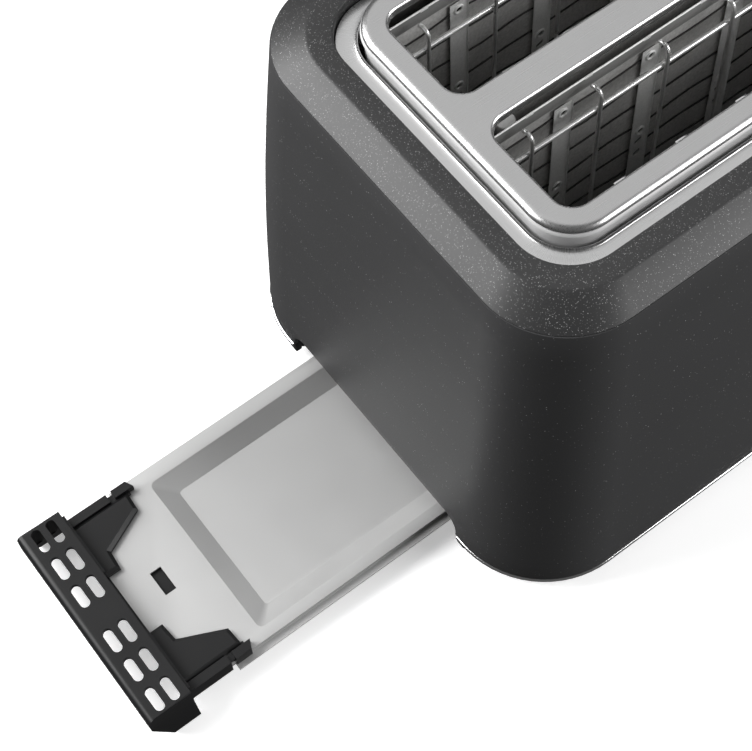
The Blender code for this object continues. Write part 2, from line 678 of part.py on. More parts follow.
def build_carriage():
    plate_top = LEVER_Z + 6 * MM
    plate_bottom = LIFTER_Z - 10 * MM
    bracket = block("carriage_bracket", (BRACKET_X, -33 * MM, plate_bottom),
                    (BRACKET_X + 2 * MM, 33 * MM, plate_top), zinc_steel)
    for sign, side in ((1, "left"), (-1, "right")):
        y = sign * GUIDE_Y
        join(bracket, block(f"sleeve_{side}", (BRACKET_X + 1 * MM, y - 5 * MM, plate_bottom + 3 * MM),
                            (GUIDE_X + 5 * MM, y + 5 * MM, plate_top - 6 * MM), zinc_steel))
        cut(bracket, cylinder(f"sleeve_hole_{side}", (GUIDE_X, y, LIFTER_Z), GUIDE_RADIUS + 0.3 * MM, 80 * MM,
                              (0, 0, 1), zinc_steel, sides=12))
        middle = sign * SLOT_MID_Y
        lifter = block(f"{side}_bread_lifter", (CHAMBER_START - 3 * MM, middle - 4 * MM, LIFTER_Z - 1.6 * MM),
                       (BRACKET_X - GAP, middle + 4 * MM, LIFTER_Z), zinc_steel)
        join(lifter, block(f"{side}_lifter_web",
                           (CHAMBER_START + 3 * MM, middle - 0.8 * MM, LIFTER_Z - 8 * MM),
                           (CHAMBER_END - 2 * MM, middle + 0.8 * MM, LIFTER_Z - 1 * MM), zinc_steel))
        for number in range(6):
            x = 58 * MM + number * 25 * MM
            join(lifter, block(f"{side}_lifter_cross_{number}", (x, middle - 9 * MM, LIFTER_Z - 1.3 * MM),
                               (x + 2.4 * MM, middle + 9 * MM, LIFTER_Z + 0.6 * MM), zinc_steel))
        cylinder(f"{side}_guide_rod", (GUIDE_X, y, (FLOOR_TOP + CHAMBER_TOP - 1.5 * MM) / 2), GUIDE_RADIUS,
                 CHAMBER_TOP - 1.5 * MM - FLOOR_TOP - 2 * GAP, (0, 0, 1), guard_steel, sides=12)
    block("lever_arm", (BRACKET_X + 2 * MM + GAP, -3 * MM, LEVER_Z - 3 * MM),
          (PANEL_FACE + 1 * MM, 3 * MM, LEVER_Z + 3 * MM), zinc_steel)
    block("armature", (224 * MM, -9 * MM, LEVER_Z - 7 * MM),
          (242 * MM, 9 * MM, LEVER_Z - 3 * MM - GAP), zinc_steel)
    knob_start = PANEL_FACE + 1 * MM + GAP
    knob = lever_grip(knob_start, REACH)
    put_origin(knob, (knob_start, 0, LEVER_Z))


def lever_grip(x0, x1):
    """The lever's grip: a rounded bar across the end, tapered towards its outer face."""
    bm = bmesh.new()
    loops = []
    depth = x1 - x0
    sections = ((0, 12.5, 6, 4), (0.7, 14, 7, 5), (0.93, 13.4, 6.4, 4.6), (1, 12, 5, 4))
    for share, half, tall, radius in sections:
        outline = rounded_outline(-tall * MM, tall * MM, -half * MM, half * MM, radius * MM, 4)
        loops.append(add_loop(bm, [(x0 + share * depth, y, LEVER_Z + z) for z, y in outline]))
    skin_loops(bm, loops, "capped")
    return finish("lever_knob", bm, black_plastic, smooth=True)


def build_spring():
    """The tension spring that lifts the carriage, drawn at its rest length."""
    bottom, top = LEVER_Z + 6 * MM + GAP, CHAMBER_TOP - 1.5 * MM - GAP
    turns, per_turn, coil, wire = 9, 10, 4 * MM, 0.6 * MM
    count = turns * per_turn
    low, high = bottom + wire, top - wire
    points = []
    for step in range(count + 1):
        angle = 2 * math.pi * step / per_turn
        z = low + (high - low) * step / count
        points.append((GUIDE_X + coil * math.cos(angle), coil * math.sin(angle), z))
    tube("lift_spring", points, wire, guard_steel, sides=5)


def build_magnet():
    foot = FLOOR_TOP + GAP
    top = LEVER_Z - 7 * MM - CARRIAGE_TRAVEL - GAP
    core = block("magnet_core", (226 * MM, -7 * MM, foot), (240 * MM, 7 * MM, top), zinc_steel)
    join(core, block("magnet_yoke", (222 * MM, -12 * MM, foot),
                     (244 * MM, 12 * MM, foot + 2.5 * MM), zinc_steel))
    coil = block("magnet_coil", (222 * MM, -11 * MM, foot + 3 * MM),
                 (244 * MM, 11 * MM, top - 2.5 * MM), copper)
    cut(coil, block("coil_hole", (225.6 * MM, -7.4 * MM, 0), (240.4 * MM, 7.4 * MM, top + 5 * MM), copper))


def build_electrics():
    foot = FLOOR_TOP + GAP
    board = block("circuit_board", (246.3 * MM, 16 * MM, 40 * MM), (248 * MM, 40 * MM, 138 * MM), board_green)
    for z in BUTTON_PLACES.values():
        join(board, block(f"tact_switch_{z:.3f}", (247.5 * MM, CONTROL_Y - 3 * MM, z - 3 * MM),
                          (252 * MM, CONTROL_Y + 3 * MM, z + 3 * MM), board_green))
    dial = block("dial_control", (248.3 * MM, CONTROL_Y - 7 * MM, KNOB_Z - 8 * MM),
                 (255 * MM, CONTROL_Y + 7 * MM, KNOB_Z + 8 * MM), black_plastic)
    spindle_start, spindle_end = 254 * MM, PANEL_FACE + 1 * MM - GAP
    join(dial, cylinder("dial_spindle", ((spindle_start + spindle_end) / 2, CONTROL_Y, KNOB_Z), 3 * MM,
                        spindle_end - spindle_start, (1, 0, 0), black_plastic))
    switch = block("main_switch", (222 * MM, -30 * MM, foot), (240 * MM, -16 * MM, foot + 14 * MM),
                   black_plastic)
    join(switch, block("switch_post", (228 * MM, -26 * MM, foot + 13 * MM),
                       (234 * MM, -20 * MM, foot + 20 * MM), black_plastic))
    terminals = block("terminal_block", (216 * MM, -62 * MM, foot), (238 * MM, -46 * MM, foot + 9 * MM),
                      white_plastic)
    for number in range(3):
        bore_x = (220.5 + 6.5 * number) * MM
        cut(terminals, cylinder(f"terminal_bore_{number}", (bore_x, -54 * MM, foot + 9 * MM),
                                1.8 * MM, 8 * MM, (0, 0, 1), white_plastic, sides=8))
    bush_x, bush_y, bush_z = BUSH_PLACE
    bush = cylinder("cord_bush", (bush_x - 2 * MM, bush_y, bush_z), BUSH_RADIUS, 12 * MM, (1, 0, 0),
                    black_plastic)
    join(bush, cylinder("bush_flange", (bush_x + 1.2 * MM, bush_y, bush_z), BUSH_RADIUS + 2 * MM, 2.2 * MM,
                        (1, 0, 0), black_plastic))
    cut(bush, cylinder("bush_bore", BUSH_PLACE, 3.2 * MM, 60 * MM, (1, 0, 0), black_plastic))


def button_outline(half_y, half_z, z):
    outline = rounded_outline(-half_y, half_y, -half_z, half_z, half_z * 0.8, 4)
    return [(CONTROL_Y + y, z + rise) for y, rise in outline]


def build_controls():
    def wall_x(z):
        return BODY_LENGTH - wall_inset(z) + GAP

    heights = [PANEL_BOTTOM, 60 * MM, 105 * MM, PANEL_TOP]
    profile = [(wall_x(z), z) for z in heights] + [(PANEL_FACE, PANEL_TOP), (PANEL_FACE, PANEL_BOTTOM)]
    panel = prism("control_panel", profile, along_y(-PANEL_HALF, PANEL_HALF), dark_cover)
    through = along_x(BODY_LENGTH - 30 * MM, PANEL_FACE + 10 * MM)
    slot_low = LEVER_Z - CARRIAGE_TRAVEL - 4 * MM
    slot_high = LEVER_Z + 14 * MM
    cut(panel, block("lever_slot_cutter", (BODY_LENGTH - 30 * MM, -3.6 * MM, slot_low),
                     (PANEL_FACE + 10 * MM, 3.6 * MM, slot_high), dark_cover))
    cut(panel, cylinder("spindle_hole_cutter", (PANEL_FACE, CONTROL_Y, KNOB_Z), 3.6 * MM, 60 * MM, (1, 0, 0),
                        dark_cover))
    room = 0.4 * MM
    flange_y, flange_z = BUTTON_HALF_Y + 1.5 * MM, BUTTON_HALF_Z + 1.5 * MM
    for name, z in BUTTON_PLACES.items():
        hole = button_outline(BUTTON_HALF_Y + room, BUTTON_HALF_Z + room, z)
        cut(panel, prism(f"{name}_hole", hole, through, dark_cover))
        back = wall_x(z + flange_z) - BUTTON_FLANGE - 2 * GAP
        button = prism(name, button_outline(BUTTON_HALF_Y, BUTTON_HALF_Z, z),
                       along_x(back + BUTTON_FLANGE / 2, PANEL_FACE + 2.4 * MM), black_plastic)
        join(button, block(f"{name}_flange", (back, CONTROL_Y - flange_y, z - flange_z),
                           (back + BUTTON_FLANGE, CONTROL_Y + flange_y, z + flange_z), black_plastic))
    knob_start = PANEL_FACE + 1 * MM
    knob_end = PANEL_FACE + KNOB_REACH
    bm = bmesh.new()
    loops = []
    for x, radius in ((knob_start, KNOB_RADIUS), (knob_start + 9 * MM, KNOB_RADIUS - 0.6 * MM),
                      (knob_end - 0.6 * MM, KNOB_RADIUS - 1 * MM), (knob_end, KNOB_RADIUS - 1.8 * MM)):
        loops.append(add_loop(bm, [(x, CONTROL_Y + radius * math.cos(a), KNOB_Z + radius * math.sin(a))
                                   for a in (2 * math.pi * step / DIAL_SIDES for step in range(DIAL_SIDES))]))
    skin_loops(bm, loops, "capped")
    knob = finish("browning_knob", bm, black_plastic, smooth=True)
    join(knob, block("knob_pointer", (knob_end - 2 * MM, CONTROL_Y - 1 * MM, KNOB_Z + 2 * MM),
                     (knob_end + 0.8 * MM, CONTROL_Y + 1 * MM, KNOB_Z + KNOB_RADIUS - 2 * MM), black_plastic))
    put_origin(knob, (knob_start, CONTROL_Y, KNOB_Z))


clear_scene()
toaster = bpy.data.objects.new("toaster", None)
toaster.location = (-MIDDLE_X, 0, 0)
bpy.context.scene.collection.objects.link(toaster)

anthracite = material("anthracite_coat", (0.035, 0.035, 0.037), 0.5)
dark_cover = material("speckled_cover", (0.045, 0.045, 0.047), 0.45)
satin_steel = material("satin_steel", (0.55, 0.55, 0.55), 0.35, 1.0)
polished_steel = material("polished_steel", (0.75, 0.75, 0.75), 0.12, 1.0)
zinc_steel = material("zinc_steel", (0.5, 0.5, 0.5), 0.45, 1.0)
guard_steel = material("guard_steel", (0.7, 0.7, 0.7), 0.25, 1.0)
tray_metal = material("tray_aluminium", (0.6, 0.6, 0.6), 0.5, 0.8)
black_plastic = material("black_plastic", (0.02, 0.02, 0.02), 0.5)
white_plastic = material("terminal_plastic", (0.7, 0.68, 0.62), 0.5)
rubber = material("foot_rubber", (0.02, 0.02, 0.02), 0.85)
mica = material("mica", (0.1, 0.095, 0.09), 0.7)
heater_alloy = material("heater_alloy", (0.08, 0.07, 0.065), 0.5, 0.8)
copper = material("coil_copper", (0.5, 0.2, 0.08), 0.4, 0.9)
board_green = material("circuit_board", (0.03, 0.12, 0.05), 0.5)

build_shell()
build_trim()
build_cover()
build_rim()
build_top_plate()
build_base()
build_feet_and_screws()
build_tray()
build_handle()
build_chamber()
build_heaters()
build_cages()
build_carriage()
build_spring()
build_magnet()
build_electrics()
build_controls()
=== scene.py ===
import json
import math

import bmesh
import bpy
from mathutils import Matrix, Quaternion, Vector

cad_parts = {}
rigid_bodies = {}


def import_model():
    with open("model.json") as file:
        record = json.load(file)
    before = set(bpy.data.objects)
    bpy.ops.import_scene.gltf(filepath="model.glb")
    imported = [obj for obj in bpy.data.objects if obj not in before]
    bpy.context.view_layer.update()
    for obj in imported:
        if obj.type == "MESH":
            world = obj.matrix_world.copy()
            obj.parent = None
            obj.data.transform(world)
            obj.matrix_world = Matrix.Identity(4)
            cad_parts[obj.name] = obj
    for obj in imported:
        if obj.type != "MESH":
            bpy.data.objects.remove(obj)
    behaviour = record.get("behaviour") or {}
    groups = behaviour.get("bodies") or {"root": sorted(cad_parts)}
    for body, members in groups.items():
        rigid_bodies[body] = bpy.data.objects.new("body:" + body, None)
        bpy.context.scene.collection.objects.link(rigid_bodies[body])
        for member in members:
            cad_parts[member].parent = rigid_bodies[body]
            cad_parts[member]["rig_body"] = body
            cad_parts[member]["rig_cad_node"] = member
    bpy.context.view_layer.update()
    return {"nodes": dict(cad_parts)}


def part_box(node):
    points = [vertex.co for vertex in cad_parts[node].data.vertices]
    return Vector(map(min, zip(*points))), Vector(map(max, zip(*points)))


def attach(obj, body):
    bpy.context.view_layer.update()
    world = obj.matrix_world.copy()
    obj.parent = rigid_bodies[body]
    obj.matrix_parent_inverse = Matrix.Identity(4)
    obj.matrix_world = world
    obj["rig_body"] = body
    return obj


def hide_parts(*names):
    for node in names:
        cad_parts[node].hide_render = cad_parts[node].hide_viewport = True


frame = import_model()
mm = 0.001


def camel(*words):
    # one name in camelCase from words that may hold underscores
    first, *others = "_".join(words).split("_")
    return first + "".join(word.capitalize() for word in others)


def deselectAll():
    if bpy.context.object and bpy.context.object.mode != "OBJECT":
        bpy.ops.object.mode_set(mode="OBJECT")
    bpy.ops.object.select_all(action="DESELECT")


def focus(piece):
    deselectAll()
    piece.select_set(True)
    bpy.context.view_layer.objects.active = piece
    return piece


def openEdit(piece):
    focus(piece)
    bpy.ops.object.mode_set(mode="EDIT")


def closeEdit():
    bpy.ops.object.mode_set(mode="OBJECT")


def middle(part):
    # the middle of an edge or a face
    return sum((corner.co for corner in part.verts), Vector()) / len(part.verts)


def pick(piece, kind, test):
    # selects only the verts, edges or faces that pass the test
    bpy.ops.mesh.select_all(action="DESELECT")
    bpy.ops.mesh.select_mode(type={"verts": "VERT", "edges": "EDGE", "faces": "FACE"}[kind])
    mesh = bmesh.from_edit_mesh(piece.data)
    for part in getattr(mesh, kind):
        if test(part):
            part.select_set(True)
    mesh.select_flush_mode()
    bmesh.update_edit_mesh(piece.data)


def near(a, b, reach=0.02 * mm):
    return abs(a - b) < reach


def nameNew(name):
    # the primitive just added, with its place put in its mesh
    piece = bpy.context.object
    piece.name = name
    piece.data.name = name
    bpy.ops.object.transform_apply(location=True, rotation=True, scale=True)
    return piece


def bevelSharp(piece, width, segments=2, angle=32):
    focus(piece)
    bpy.ops.object.modifier_add(type="BEVEL")
    step = piece.modifiers[-1]
    step.width = width
    step.segments = segments
    step.limit_method = "ANGLE"
    step.angle_limit = math.radians(angle)
    step.use_clamp_overlap = True
    bpy.ops.object.modifier_apply(modifier=step.name)
    return piece


def smooth(piece, angle=35):
    focus(piece)
    bpy.ops.object.shade_smooth_by_angle(angle=math.radians(angle))
    return piece


def evenShade(piece, angle=35):
    # large flat faces keep their own normal beside rounded edges
    smooth(piece, angle)
    bpy.ops.object.modifier_add(type="WEIGHTED_NORMAL")
    piece.modifiers[-1].keep_sharp = True
    bpy.ops.object.modifier_apply(modifier=piece.modifiers[-1].name)
    return piece


def thicken(piece, thickness):
    # the wall grows inwards from the faces
    focus(piece)
    bpy.ops.object.modifier_add(type="SOLIDIFY")
    step = piece.modifiers[-1]
    step.thickness = thickness
    step.offset = -1
    step.use_even_offset = True
    bpy.ops.object.modifier_apply(modifier=step.name)
    return piece


def combine(piece, tools, operation, solver="EXACT"):
    # cuts the tools from the piece, or joins them to it, and removes them
    focus(piece)
    for tool in tools:
        bpy.ops.object.modifier_add(type="BOOLEAN")
        step = piece.modifiers[-1]
        step.solver = solver
        step.operation = operation
        step.object = tool
        bpy.ops.object.modifier_apply(modifier=step.name)
    for tool in tools:
        bpy.data.objects.remove(tool)
    return piece


def together(name, parts):
    # separate solids kept in one object
    deselectAll()
    for part in parts:
        part.select_set(True)
    bpy.context.view_layer.objects.active = parts[0]
    if len(parts) > 1:
        bpy.ops.object.join()
    parts[0].name = name
    parts[0].data.name = name
    return parts[0]


def copyPiece(piece, name, shift=(0, 0, 0), mirrorY=False):
    focus(piece)
    bpy.ops.object.duplicate(linked=False)
    twin = bpy.context.object
    if mirrorY:
        twin.scale = (1, -1, 1)
    twin.location = shift
    nameNew(name)
    if mirrorY:
        openEdit(twin)
        bpy.ops.mesh.select_all(action="SELECT")
        bpy.ops.mesh.normals_make_consistent(inside=False)
        closeEdit()
    return twin


def box(name, low, high, bevel=0.0, segments=2):
    deselectAll()
    size = Vector(high) - Vector(low)
    bpy.ops.mesh.primitive_cube_add(size=1, location=(Vector(low) + Vector(high)) / 2)
    bpy.context.object.scale = size
    piece = nameNew(name)
    if bevel:
        openEdit(piece)
        bpy.ops.mesh.select_all(action="SELECT")
        bpy.ops.mesh.bevel(offset=bevel, segments=segments, affect="EDGES")
        closeEdit()
    return piece


turns = {"x": (0, math.pi / 2, 0), "y": (math.pi / 2, 0, 0), "z": (0, 0, 0)}


def rod(name, centre, radius, length, axis="z", sides=24, bevel=0.0):
    deselectAll()
    bpy.ops.mesh.primitive_cylinder_add(vertices=sides, radius=radius, depth=length,
                                        location=centre, rotation=turns[axis])
    piece = nameNew(name)
    if bevel:
        openEdit(piece)
        pick(piece, "faces", lambda face: len(face.verts) > 4)
        bpy.ops.mesh.bevel(offset=bevel, segments=3, affect="EDGES")
        closeEdit()
    return piece


def outline(name, x0, x1, y0, y1, corner, z, steps=14):
    # a flat rounded rectangle, as one face
    deselectAll()
    bpy.ops.mesh.primitive_plane_add(size=1, location=((x0 + x1) / 2, (y0 + y1) / 2, z))
    bpy.context.object.scale = (x1 - x0, y1 - y0, 1)
    piece = nameNew(name)
    openEdit(piece)
    bpy.ops.mesh.select_all(action="SELECT")
    bpy.ops.mesh.bevel(offset=corner, segments=steps, affect="VERTICES")
    closeEdit()
    return piece


def raised(name, x0, x1, y0, y1, corner, z0, z1, steps=12):
    piece = outline(name, x0, x1, y0, y1, corner, z0, steps)
    openEdit(piece)
    bpy.ops.mesh.select_all(action="SELECT")
    bpy.ops.mesh.extrude_region_move(TRANSFORM_OT_translate={"value": (0, 0, z1 - z0)})
    bpy.ops.mesh.select_all(action="SELECT")
    bpy.ops.mesh.normals_make_consistent(inside=False)
    closeEdit()
    return piece


def loft(name, stations, steps=14, ring=False):
    # a rounded rectangle drawn up through stations of (x0, x1, half width, corner, z)
    x0, x1, half, corner, z = stations[0]
    piece = outline(name, x0, x1, -half, half, corner, z, steps)
    openEdit(piece)
    bpy.ops.mesh.select_all(action="SELECT")
    for station in stations[1:]:
        nextX0, nextX1, nextHalf, nextCorner, nextZ = station
        bpy.ops.mesh.extrude_region_move(TRANSFORM_OT_translate={"value": (0, 0, nextZ - z)})
        mesh = bmesh.from_edit_mesh(piece.data)
        loop = {vert.index for vert in mesh.verts if vert.select}
        middleX = (x0 + x1) / 2
        for sideX, sideY in ((1, 1), (-1, 1), (-1, -1), (1, -1)):
            mesh = bmesh.from_edit_mesh(piece.data)
            mesh.verts.ensure_lookup_table()
            arc = {i for i in loop if (mesh.verts[i].co.x - middleX) * sideX > 0
                   and mesh.verts[i].co.y * sideY > 0}
            pick(piece, "verts", lambda vert: vert.index in arc)
            old = Vector(((x1 if sideX > 0 else x0) - sideX * corner, sideY * (half - corner), nextZ))
            new = Vector(((nextX1 if sideX > 0 else nextX0) - sideX * nextCorner,
                          sideY * (nextHalf - nextCorner), nextZ))
            scale = nextCorner / corner
            bpy.ops.transform.resize(value=(scale, scale, 1), center_override=old)
            bpy.ops.transform.translate(value=new - old)
        pick(piece, "verts", lambda vert: vert.index in loop)
        x0, x1, half, corner, z = station
    if ring:
        pick(piece, "faces", lambda face: len(face.verts) > 4)
        bpy.ops.mesh.delete(type="ONLY_FACE")
        pick(piece, "edges", lambda edge: edge.is_boundary)
        bpy.ops.mesh.bridge_edge_loops()
    bpy.ops.mesh.select_all(action="SELECT")
    bpy.ops.mesh.normals_make_consistent(inside=False)
    closeEdit()
    return piece


def wire(name, points, radius, sides=10):
    # a round wire along points, made as a curve and turned into a mesh
    deselectAll()
    bpy.ops.curve.primitive_bezier_curve_add()
    piece = bpy.context.object
    piece.data.splines.remove(piece.data.splines[0])
    line = piece.data.splines.new("POLY")
    line.points.add(len(points) - 1)
    for spot, place in zip(line.points, points):
        spot.co = (*place, 1)
    piece.data.dimensions = "3D"
    piece.data.bevel_depth = radius
    piece.data.bevel_resolution = sides // 2 - 1
    piece.data.use_fill_caps = True
    bpy.ops.object.convert(target="MESH")
    nameNew(name)
    openEdit(piece)
    bpy.ops.mesh.select_all(action="SELECT")
    bpy.ops.mesh.remove_doubles(threshold=0.001 * mm)  # closes the caps onto the tube
    bpy.ops.mesh.normals_make_consistent(inside=False)
    closeEdit()
    return piece


def fromFrame(node, name, bevel, segments=2, angle=30):
    # a merged copy of a frame solid, with its edges eased
    source = frame["nodes"][node]
    piece = source.copy()
    piece.data = source.data.copy()
    bpy.context.scene.collection.objects.link(piece)
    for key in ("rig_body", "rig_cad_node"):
        del piece[key]
    piece.parent = None
    piece.name = name
    piece.data.name = name
    openEdit(piece)
    bpy.ops.mesh.select_all(action="SELECT")
    bpy.ops.mesh.customdata_custom_splitnormals_clear()
    bpy.ops.mesh.remove_doubles(threshold=0.002 * mm)
    bpy.ops.mesh.dissolve_limited(angle_limit=math.radians(0.5))
    closeEdit()
    bevelSharp(piece, bevel, segments, angle)
    return smooth(piece)


def settle(piece, look, body, slotName, *nodes):
    piece.data.materials.clear()
    piece.data.materials.append(look)
    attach(piece, body)
    if nodes:
        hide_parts(*nodes)
    return piece


def newGroup(name, inputs, outputs):
    group = bpy.data.node_groups.new(name, "ShaderNodeTree")
    for title, kind, value in inputs:
        socket = group.interface.new_socket(title, in_out="INPUT", socket_type=kind)
        if value is not None:
            socket.default_value = value
    for title, kind in outputs:
        group.interface.new_socket(title, in_out="OUTPUT", socket_type=kind)
    start = group.nodes.new("NodeGroupInput")
    end = group.nodes.new("NodeGroupOutput")
    return group, start, end


def addNode(tree, kind, **settings):
    made = tree.nodes.new(kind)
    for key, value in settings.items():
        setattr(made, key, value)
    return made


def math2(tree, operation, a, b):
    made = addNode(tree, "ShaderNodeMath", operation=operation)
    for socket, value in zip(made.inputs, (a, b)):
        if isinstance(value, (int, float)):
            socket.default_value = value
        else:
            tree.links.new(value, socket)
    return made.outputs[0]


def mapRange(tree, value, fromLow, fromHigh, toLow, toHigh):
    made = addNode(tree, "ShaderNodeMapRange")
    tree.links.new(value, made.inputs["Value"])
    for title, setting in (("From Min", fromLow), ("From Max", fromHigh),
                           ("To Min", toLow), ("To Max", toHigh)):
        if isinstance(setting, (int, float)):
            made.inputs[title].default_value = setting
        else:
            tree.links.new(setting, made.inputs[title])
    return made.outputs["Result"]


def flakeGroup():
    # fine bright flakes set in a dark coat, each with its own brightness
    group, start, end = newGroup("coatFlakes", [
        ("Vector", "NodeSocketVector", None), ("Cells per metre", "NodeSocketFloat", 900.0),
        ("Flake size", "NodeSocketFloat", 0.2), ("Share", "NodeSocketFloat", 0.3),
    ], [("Mask", "NodeSocketFloat")])
    cells = addNode(group, "ShaderNodeTexVoronoi", feature="F1")
    group.links.new(start.outputs["Vector"], cells.inputs["Vector"])
    group.links.new(start.outputs["Cells per metre"], cells.inputs["Scale"])
    parts = addNode(group, "ShaderNodeSeparateColor")
    group.links.new(cells.outputs["Color"], parts.inputs["Color"])
    spot = mapRange(group, cells.outputs["Distance"], 0.0, start.outputs["Flake size"], 1.0, 0.0)
    lit = math2(group, "LESS_THAN", parts.outputs["Red"], start.outputs["Share"])
    strength = mapRange(group, parts.outputs["Green"], 0.0, 1.0, 0.1, 1.0)
    glow = math2(group, "MULTIPLY", spot, lit)
    squared = math2(group, "MULTIPLY", strength, strength)
    group.links.new(math2(group, "MULTIPLY", glow, squared), end.inputs["Mask"])
    return group


def grainGroup():
    # a fine even grain, from 0 to 1, with broader clouds beside it
    group, start, end = newGroup("surfaceGrain", [
        ("Vector", "NodeSocketVector", None), ("Grains per metre", "NodeSocketFloat", 2500.0),
        ("Clouds per metre", "NodeSocketFloat", 40.0),
    ], [("Grain", "NodeSocketFloat"), ("Clouds", "NodeSocketFloat")])
    for title, output, detail in (("Grains per metre", "Grain", 3.0), ("Clouds per metre", "Clouds", 4.0)):
        noise = addNode(group, "ShaderNodeTexNoise")
        noise.inputs["Detail"].default_value = detail
        group.links.new(start.outputs["Vector"], noise.inputs["Vector"])
        group.links.new(start.outputs[title], noise.inputs["Scale"])
        group.links.new(noise.outputs["Fac"], end.inputs[output])
    return group


def brushGroup():
    # hairlines: noise drawn out along one direction of the vector
    group, start, end = newGroup("hairlines", [
        ("Vector", "NodeSocketVector", None), ("Stretch", "NodeSocketVector", (30.0, 3000.0, 3000.0)),
    ], [("Lines", "NodeSocketFloat")])
    stretch = addNode(group, "ShaderNodeVectorMath", operation="MULTIPLY")
    noise = addNode(group, "ShaderNodeTexNoise")
    noise.inputs["Detail"].default_value = 2.0
    noise.inputs["Scale"].default_value = 1.0
    group.links.new(start.outputs["Vector"], stretch.inputs[0])
    group.links.new(start.outputs["Stretch"], stretch.inputs[1])
    group.links.new(stretch.outputs["Vector"], noise.inputs["Vector"])
    group.links.new(noise.outputs["Fac"], end.inputs["Lines"])
    return group


flakes, grain, hairlines = flakeGroup(), grainGroup(), brushGroup()


class Finish:
    # a material with its shader at hand
    def __init__(self, name, colour, roughness, metallic=0.0, specular=0.5):
        self.material = bpy.data.materials.new(name)
        self.material.use_nodes = True
        self.tree = self.material.node_tree
        self.shader = self.tree.nodes["Principled BSDF"]
        self.colour = (*colour, 1)
        self.shader.inputs["Base Color"].default_value = self.colour
        self.shader.inputs["Roughness"].default_value = roughness
        self.shader.inputs["Metallic"].default_value = metallic
        self.shader.inputs["Specular IOR Level"].default_value = specular
        self.place = addNode(self.tree, "ShaderNodeTexCoord").outputs["Object"]

    def group(self, group, **values):
        made = addNode(self.tree, "ShaderNodeGroup", node_tree=group)
        self.tree.links.new(self.place, made.inputs["Vector"])
        for title, value in values.items():
            made.inputs[title.replace("_", " ")].default_value = value
        return made

    def mix(self, factor, a, b):
        made = addNode(self.tree, "ShaderNodeMix", data_type="RGBA")
        for socket, value in ((made.inputs[6], a), (made.inputs[7], b)):
            if isinstance(value, tuple):
                socket.default_value = value
            else:
                self.tree.links.new(value, socket)
        self.tree.links.new(factor, made.inputs[0])
        return made.outputs[2]

    def feed(self, title, output):
        self.tree.links.new(output, self.shader.inputs[title])

    def bump(self, height, strength, distance):
        made = addNode(self.tree, "ShaderNodeBump")
        made.inputs["Strength"].default_value = strength
        made.inputs["Distance"].default_value = distance
        self.tree.links.new(height, made.inputs["Height"])
        self.feed("Normal", made.outputs["Normal"])


def shade(colour, factor):
    return tuple(channel * factor for channel in colour) + (1,)


coatLook = {"colour": (0.045, 0.045, 0.046), "roughness": 0.52, "specular": 0.25,
            "flake": (0.65, 0.65, 0.65, 1), "cells": 950.0, "size": 0.2, "share": 0.32}
coverLook = {"colour": (0.024, 0.024, 0.0245), "roughness": 0.44, "specular": 0.46,
             "flake": (0.95, 0.95, 0.95, 1), "cells": 2500.0, "size": 0.34, "share": 0.45}


def flakedFinish(name, look):
    made = Finish(name, look["colour"], look["roughness"], specular=look["specular"])
    spots = made.group(flakes, Cells_per_metre=look["cells"], Flake_size=look["size"], Share=look["share"])
    skin = made.group(grain, Grains_per_metre=4200.0, Clouds_per_metre=25.0)
    base = made.mix(skin.outputs["Clouds"], shade(look["colour"], 0.93), shade(look["colour"], 1.07))
    made.feed("Base Color", made.mix(spots.outputs["Mask"], base, look["flake"]))
    made.feed("Roughness", mapRange(made.tree, skin.outputs["Grain"], 0.3, 0.7,
                                    look["roughness"] - 0.04, look["roughness"] + 0.05))
    made.bump(skin.outputs["Grain"], 0.12, 0.04 * mm)
    return made.material


def steelFinish(name, colour, roughness, stretch, strength=0.08, metallic=1.0):
    made = Finish(name, colour, roughness, metallic)
    lines = made.group(hairlines, Stretch=stretch).outputs["Lines"]
    clouds = made.group(grain, Clouds_per_metre=60.0).outputs["Clouds"]
    made.feed("Base Color", made.mix(clouds, shade(colour, 0.95), shade(colour, 1.04)))
    made.feed("Roughness", mapRange(made.tree, lines, 0.3, 0.7, roughness - 0.05, roughness + 0.06))
    made.bump(lines, strength, 0.01 * mm)
    return made.material


def grainedFinish(name, colour, roughness, metallic=0.0, grains=2600.0, strength=0.2, variation=0.06,
                  specular=0.5):
    made = Finish(name, colour, roughness, metallic, specular)
    skin = made.group(grain, Grains_per_metre=grains, Clouds_per_metre=45.0)
    speck = made.mix(skin.outputs["Grain"], shade(colour, 1 - variation * 1.5),
                     shade(colour, 1 + variation * 1.5))
    cloud = made.mix(skin.outputs["Clouds"], shade((1, 1, 1), 1 - variation), shade((1, 1, 1), 1.0))
    product = addNode(made.tree, "ShaderNodeMix", data_type="RGBA", blend_type="MULTIPLY")
    product.inputs[0].default_value = 1.0
    made.tree.links.new(speck, product.inputs[6])
    made.tree.links.new(cloud, product.inputs[7])
    made.feed("Base Color", product.outputs[2])
    made.feed("Roughness", mapRange(made.tree, skin.outputs["Clouds"], 0.3, 0.7,
                                    roughness - 0.05, roughness + 0.05))
    made.bump(skin.outputs["Grain"], strength, 0.03 * mm)
    return made.material


